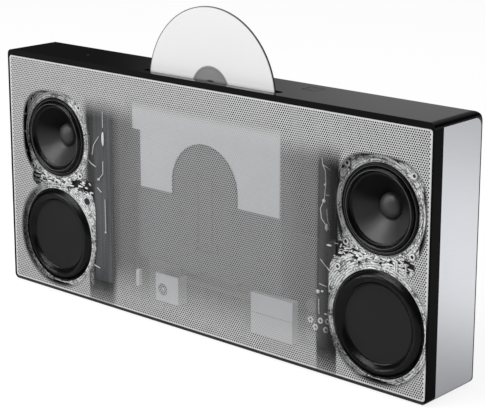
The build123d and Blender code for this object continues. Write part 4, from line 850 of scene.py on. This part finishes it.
def bezel(name, x, z, inner_r, half, lower_power, ribs, material):
    """A ring from a circle of inner_r out to a rounded square. The outline is the power curve
    half / (|cos|^p + |sin|^p)^(1/p), cut flat at the box's floor and side. Its front carries two
    round ridges, a row of radial ribs and shallow pockets."""
    steps, rows = 540, 15
    angle = np.linspace(0, 2 * pi, steps, endpoint=False)
    share = np.linspace(0, 1, rows)[:, None]
    power = np.where(np.sin(angle) > -0.05, ear_power, lower_power)
    reach = np.abs(np.cos(angle)) ** power + np.abs(np.sin(angle)) ** power
    outline = half / reach ** (1 / power)
    radius = inner_r + share * (outline - inner_r)
    ridge = np.exp(-(((share - 0.12) / 0.09) ** 2)) + np.exp(-(((share - 0.86) / 0.1) ** 2))
    rib = np.abs(np.cos(angle * ribs / 2)) ** 14 * np.sin(pi * share)
    pocket = np.sin(angle * 5 + 1.0) * np.sin(angle * 11) * np.sin(pi * share) * 0.25
    rise = 0.35 + 0.35 * ridge + 0.4 * rib + pocket
    depth = np.where((share == 0) | (share == 1), flange_y + 0.05, flange_y - rise)
    across = np.clip(x + radius * np.cos(angle), -bezel_side, bezel_side)
    upward = np.maximum(z + radius * np.sin(angle), bezel_floor)
    points = np.stack([across, depth * np.ones_like(radius), upward], -1).reshape(-1, 3)
    shape(name, points, ring_faces(rows, steps), "case", material)


for side, x in (("left", -speaker_x), ("right", speaker_x)):
    bezel(f"{side}_driver_bezel", x, driver_z, 31.45, 33.8, 3.0, 54, driver_clear)
    bezel(f"{side}_passive_bezel", x, passive_z, 37.6, 42.2, 2.0, 66, passive_clear)

dress(
    finish("box_dark", 0.022, 0.55, scale=900.0, spread=0.4, Specular_IOR_Level=0.3),
    "speaker_boxes",
    "speaker_baffles",
)
dress(finish("screw_dark", 0.03, 0.4, metallic=0.5, scale=1500.0), "speaker_screws")
dress(finish("magnet_ferrite", 0.03, 0.6, scale=1000.0), "driver_magnets")


# Cable ducts: a flat moulded tray at the inner edge of each speaker box. The right one is a dark
# sheet of painted shade, standing where the gap between the chassis and the speaker box falls dark;
# the left one is paler, with upright flow lines. The leads run over them.
def tray(name, low, high, corner, depths, slot, material):
    """A shallow lid: a rounded rectangle carried through three depths, from its back forward, with
    its front edge moved in and its front closed by one face."""
    outline = rounded_outline(low, high, corner)
    points, faces = carried(outline, depths, [0.0, 0.0, 0.3])
    front = np.arange(len(outline)) + 2 * len(outline)
    faces = faces[:, ::-1].tolist() + [front.tolist()]
    shape(name, points, faces, "case", material, smooth=False)


# Painted shade: the dark of the right tray stands for the shade in the gap beside the speaker box.
gap_shade_and_block_dark = finish("gap_shade_and_block_dark", 0.05, 0.5, spread=0.9, scale=500.0, stretch=(1.0, 1.0, 0.3))
duct_pale = finish(
    "duct_pale", (0.042, 0.044, 0.050), 0.45, spread=3.0, scale=450.0, stretch=(1.0, 1.0, 0.03)
)
duct_y = flange_y + 0.6
duct_depths = [duct_y + 2.0, duct_y + 0.3, duct_y]
left_duct = ((-116.0, 16.0), (-98.0, 156.0))
right_gap_shade = ((105.6, 16.0), (119.6, 154.0))
tray("left_cable_duct", *left_duct, 2.0, duct_depths, "frame_plastic", duct_pale)
tray("right_gap_shade_sheet", *right_gap_shade, 2.0, duct_depths, "frame_plastic", gap_shade_and_block_dark)


# Struts and clips between the two units of a side: short moulded bars, pale and dark, that carry
# the terminals and hold the leads. Their places are drawn once from a fixed seed.
def rods(name, starts, ends, radii, material):
    """Straight six-sided rods from starts to ends: each ring of a rod is its axis plus two unit
    vectors square to it, times the radius."""
    starts, ends = np.asarray(starts, float), np.asarray(ends, float)
    radii = np.broadcast_to(np.asarray(radii, float), (len(starts),))
    axis = ends - starts
    axis /= np.linalg.norm(axis, axis=1, keepdims=True)
    helper = np.where(np.abs(axis[:, 1:2]) < 0.9, (0.0, 1.0, 0.0), (1.0, 0.0, 0.0))
    first = np.cross(axis, helper)
    first /= np.linalg.norm(first, axis=1, keepdims=True)
    second = np.cross(axis, first)
    turn = np.arange(6) * pi / 3
    ring = first[:, None] * np.cos(turn)[:, None] + second[:, None] * np.sin(turn)[:, None]
    ring = ring * radii[:, None, None]
    points = np.stack([starts[:, None] + ring, ends[:, None] + ring], 1).reshape(-1, 3)
    base = np.arange(len(starts))[:, None] * 12
    k = np.arange(6)
    sides = np.stack([base + k, base + (k + 1) % 6, base + 6 + (k + 1) % 6, base + 6 + k], -1)
    faces = sides.reshape(-1, 4).tolist()
    faces += (base + k[::-1]).tolist() + (base + 6 + k).tolist()
    shape(name, points, faces, "case", material, smooth=False)


strut_seed = 7
strut_z = 88.0
level_share = 0.65
strut_pale = finish("strut_pale", 0.85, 0.25, spread=0.3, scale=900.0, bump=0.0001)
strut_dark = finish("strut_dark", 0.012, 0.3, spread=0.3, scale=900.0, Specular_IOR_Level=0.4)
draw = np.random.default_rng(strut_seed)
for side, x, reach in (("left", -speaker_x, (-36.0, 40.0)), ("right", speaker_x, (-38.0, 31.0))):
    for tone, material, count in (("pale", strut_pale, 110), ("dark", strut_dark, 60)):
        middle_x = x + draw.uniform(reach[0], reach[1], count)
        off = np.abs(middle_x - x)
        middle_z = strut_z + draw.uniform(-1.0, 1.0, count) * (2.2 + (off / 12) ** 1.6)
        level = draw.random(count) < level_share
        nearly_level = draw.normal(0, 0.16, count)
        lean = np.where(level, nearly_level, draw.uniform(-1.5, 1.5, count))
        half = draw.uniform(0.4, 3.2, count) * np.where(off > 30, 0.55, 1.0)
        y = flange_y - draw.uniform(0.1, 1.2, count) - (0.5 if tone == "pale" else 0.0)
        spread = np.stack([half * np.cos(lean), np.zeros(count), half * np.sin(lean)], -1)
        middle = np.stack([middle_x, y, middle_z], -1)
        rods(
            f"{side}_{tone}_struts",
            middle - spread,
            middle + spread,
            draw.uniform(0.18, 0.62, count),
            material,
        )

# Screw collars: pale moulded rings that stand round the heads of the speaker screws and narrow
# their wells. One well stays wide open.
driver_screw = 27.0
passive_screw = 33.5
collar_places = [
    (side * speaker_x + reach_x, driver_z + reach_z)
    for side in (-1, 1)
    for reach_x in (-driver_screw, driver_screw)
    for reach_z in (-driver_screw, driver_screw)
]
for x in (-speaker_x - passive_screw, speaker_x - passive_screw, speaker_x + passive_screw):
    collar_places.append((x, passive_z + passive_screw))
collar_profile = [
    (1.25, flange_y - 1.3),
    (1.35, flange_y - 1.75),
    (2.3, flange_y - 1.75),
    (2.7, flange_y - 0.2),
]
for count, (x, z) in enumerate(collar_places):
    turned(
        f"screw_collar_{count + 1}", collar_profile, x, z, "case", strut_pale, 20
    )

# Leads: thin white wires from the boards to the terminals, soldered at both ends and clipped along
# the inner edge of each speaker box.
lead_white = finish("lead_white", 0.85, 0.35, spread=0.1, scale=1500.0)
lead_y = flange_y - 0.3
lead_r = 0.3
lead_runs = (
    (
        (107.6, 150.5),
        (108.2, 145.5),
        (110.6, 141.5),
        (111.2, 132.5),
        (110.0, 121.5),
        (106.8, 114.8),
        (107.8, 108.0),
        (112.6, 103.0),
        (118.6, 98.6),
    ),
    ((108.2, 145.5), (113.0, 143.6), (119.5, 140.6)),
    ((112.2, 115.5), (113.2, 107.0), (117.0, 100.5)),
    ((107.2, 79.2), (112.0, 75.2), (118.0, 70.8)),
    ((106.6, 61.6), (113.4, 60.6)),
    ((106.4, 50.6), (106.5, 44.6), (106.8, 39.6)),
    ((111.5, 124.8), (117.8, 125.4)),
    ((-104.2, 151.0), (-104.2, 138.8)),
    ((-104.8, 112.5), (-105.0, 102.5), (-109.6, 97.6)),
    ((-121.7, 111.4), (-117.5, 108.6), (-112.8, 106.8)),
    ((-128.0, 102.4), (-124.4, 104.6), (-121.8, 108.8)),
    ((-111.5, 90.6), (-107.0, 87.6)),
    ((-103.2, 82.6), (-103.0, 57.4)),
    ((-116.8, 27.6), (-110.4, 26.2)),
    ((-109.0, 131.0), (-114.5, 124.0), (-116.5, 116.0)),
)


def run_rods(name, runs, radius, y, material):
    """Rods along runs of points in X and Z, all at one depth."""
    pairs = [pair for run in runs for pair in zip(run, run[1:])]
    starts = [(a[0], y, a[1]) for a, b in pairs]
    ends = [(b[0], y, b[1]) for a, b in pairs]
    rods(name, starts, ends, radius, material)


run_rods("speaker_leads", lead_runs, lead_r, lead_y, lead_white)

# Clips: thicker pale bars that clamp the boxes to the case at the left edge, and the bright edge
# of the frame at the right.
clip_r = 0.55
clip_y = flange_y - 2.0
clip_runs = (
    ((-197.4, 136.8), (-190.2, 137.6)),
    ((-197.4, 123.4), (-190.2, 123.4)),
    ((-197.2, 106.6), (-190.2, 107.6)),
    ((-197.4, 139.0), (-198.0, 122.0), (-197.2, 103.0), (-193.0, 97.0)),
    ((-191.5, 144.0), (-194.0, 139.0)),
    ((-192.0, 99.5), (-188.5, 95.0)),
    ((170.6, 84.2), (170.6, 91.2)),
    ((172.2, 84.2), (172.2, 91.2)),
    ((179.2, 81.2), (179.2, 91.2)),
    ((195.0, 37.5), (196.4, 43.0), (196.6, 49.5), (195.4, 56.0)),
)
run_rods("frame_clips", clip_runs, clip_r, clip_y, strut_pale)


# Solder blobs: rounded drops of bright solder, and of pale glue, where the leads end and where they
# are tacked to the ducts.
def beads(name, places, material):
    """Rounded drops: the unit sphere's latitude grid, scaled to half width, depth and height and
    set down at each place."""
    rows, steps = 9, 14
    up = np.linspace(-pi / 2, pi / 2, rows)[:, None]
    about = np.linspace(0, 2 * pi, steps, endpoint=False)
    unit = np.stack(
        [np.cos(up) * np.cos(about), np.cos(up) * np.sin(about), np.sin(up) * np.ones(steps)], -1
    ).reshape(-1, 3)
    one = ring_faces(rows, steps)[:, [0, 3, 2, 1]]
    points, faces = [], []
    for n, (x, y, z, half_w, half_d, half_h) in enumerate(places):
        points.append(unit * (half_w, half_d, half_h) + (x, y, z))
        faces.append(one + n * len(unit))
    points, faces = np.concatenate(points), np.concatenate(faces)
    shape(name, points, faces, "case", material)


beads(
    "solder_blobs",
    (
        (110.7, lead_y, 132.0, 1.0, 0.8, 0.9),
        (109.8, lead_y, 120.6, 1.5, 0.9, 1.3),
        (112.4, lead_y, 102.6, 1.4, 0.9, 2.6),
        (114.6, lead_y, 90.4, 2.4, 0.8, 0.7),
        (105.6, lead_y, 55.6, 1.6, 0.9, 1.4),
        (109.4, lead_y, 56.6, 1.2, 0.8, 0.8),
        (113.0, lead_y, 41.0, 1.8, 0.7, 0.7),
        (-109.8, lead_y, 97.4, 1.5, 0.9, 1.0),
        (-104.3, lead_y, 130.0, 1.3, 0.8, 5.6),
        (-193.0, lead_y, 99.0, 2.2, 1.4, 1.5),
        (-103.2, lead_y, 56.4, 0.8, 0.7, 0.9),
    ),
    strut_pale,
)

# Terminal block: a small dark moulded plate, clipped low onto the right tray of painted shade, with
# five pale ring terminals pressed into it.
block_y = duct_y - 0.5
block_low, block_high = (97.0, 24.5), (117.0, 38.5)
block_depths = [block_y + 1.5, block_y + 0.3, block_y]
tray("terminal_block", block_low, block_high, 1.5, block_depths, "frame_plastic", gap_shade_and_block_dark)
ring_profile = [(1.1, block_y), (1.2, block_y - 0.7), (2.0, block_y - 0.7), (2.2, block_y)]
terminals = ((99.3, 33.8), (103.6, 29.4), (108.0, 35.0), (112.8, 29.4), (114.2, 35.8))
for count, (x, z) in enumerate(terminals):
    turned(
        f"ring_terminal_{count + 1}", ring_profile, x, z, "case", strut_pale, 24
    )

# Disc mechanism: a folded steel chassis, a moulded guide in front of the disc and a bright plate
# with an arch over the clamp. The gears are moulded, the shafts ground steel.
guide_grey = finish(
    "guide_grey", (0.052, 0.055, 0.062), 0.5, scale=700.0, spread=0.12, Specular_IOR_Level=0.3
)
dress(guide_grey, "disc_guide")
dress(finish("chassis_zinc", 0.1, 0.45, metallic=0.3, scale=500.0), "mechanism_chassis")
dress(finish("traverse_zinc", 0.12, 0.4, metallic=0.5, scale=500.0), "traverse_frame", "cam_slide")
dress(
    finish("arch_bright", (0.50, 0.51, 0.54), 0.5, spread=0.22, scale=420.0),
    "arch_plate",
    "mode_bracket",
)
dress(finish("roller_rubber", 0.02, 0.7, scale=1500.0), "loading_roller")
dress(
    finish("shaft_steel", 0.6, 0.22, metallic=1.0, scale=1500.0, stretch=(0.05, 1, 1)),
    "roller_shaft",
    "guide_rods",
    "lead_screw",
    "clamp_pin",
)
dress(
    finish("gear_grey", 0.06, 0.45, scale=900.0),
    "roller_gear",
    "idler_gear",
    "motor_pinion",
    "mode_pinion",
)
dress(
    finish("motor_can", 0.35, 0.3, metallic=0.8, scale=900.0),
    "loading_motor",
    "spindle_motor",
    "sled_motor",
)
dress(
    finish("clamp_grey", 0.055, 0.5, scale=700.0, Specular_IOR_Level=0.3),
    "clamp_arm",
    "clamp_puck",
    "turntable",
    "pickup_sled",
)
dress(finish("lens_glass", 0.1, 0.08, scale=400.0, bump=0.0, Coat_Weight=1.0), "pickup_lens")

# Arch trim and lug: a thin dark rubber edging, pushed onto the rim of the arch, and a pale moulded
# lug that stands up from the chassis beside the bracket.
arch_x, arch_z, arch_r = 5.5, 112.0, 31.0
trim_r = 0.75
lug_low, lug_high = (-66.0, 23.0), (-63.2, 36.0)
lug_depths = [-20.5, -23.7, -24.0]
_, arch_y, arch_foot = np.array(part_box("arch_plate")[0]) / mm
turns = np.linspace(0, pi, 37)
trim_run = [(arch_x + arch_r, arch_foot)]
trim_run += [(arch_x + arch_r * cos(a), arch_z + arch_r * sin(a)) for a in turns]
trim_run += [(arch_x - arch_r, arch_foot)]
run_rods("arch_trim", [trim_run], trim_r, arch_y - 0.2, strut_dark)
tray("chassis_lug", lug_low, lug_high, 1.3, lug_depths, "plated_steel", strut_pale)

# Mode motor: a dark can that drives the cam, screwed to its bracket. A pale moulded end cap shows
# in the middle of its face.
mode_x, mode_z = -38.0, 26.0
dress(finish("mode_can", 0.035, 0.45, spread=2.0, scale=700.0), "mode_motor")
boss = [(0.0, -23.95), (0.6, -23.9), (0.9, -23.6), (1.0, -23.1)]
turned("motor_end_cap", boss, mode_x, mode_z, "case", strut_pale, 24)

# Electronics: green-grey boards on the chassis, sleeved capacitors, an aluminium heat sink, and
# black sockets screwed into the rear wall.
dress(finish("board_dark", (0.03, 0.034, 0.032), 0.4, scale=300.0, spread=0.6), "circuit_boards")
dress(finish("sleeve_grey", 0.14, 0.4, spread=0.3, scale=800.0), "capacitors")
dress(finish("sink_metal", 0.5, 0.4, metallic=0.8, scale=700.0), "heat_sink")
dress(finish("socket_black", 0.02, 0.4, scale=1500.0), "mains_inlet", "signal_sockets")

# Radio: a can folded from bright tinned sheet, soldered to its board. The dark joint between the
# can and its lid runs across its front.
shield_bright = finish(
    "shield_bright", (0.46, 0.47, 0.50), 0.45, metallic=0.1, spread=0.05, scale=500.0
)
dress(shield_bright, "radio_module")
radio_low, radio_high = (np.array(corner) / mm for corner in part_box("radio_module"))
lid_z = 29.5
seam_inset = 1.0
seam_run = [(radio_low[0] + seam_inset, lid_z), (radio_high[0] - seam_inset, lid_z)]
run_rods("radio_seam", [seam_run], 0.35, radio_low[1] + 0.2, strut_dark)
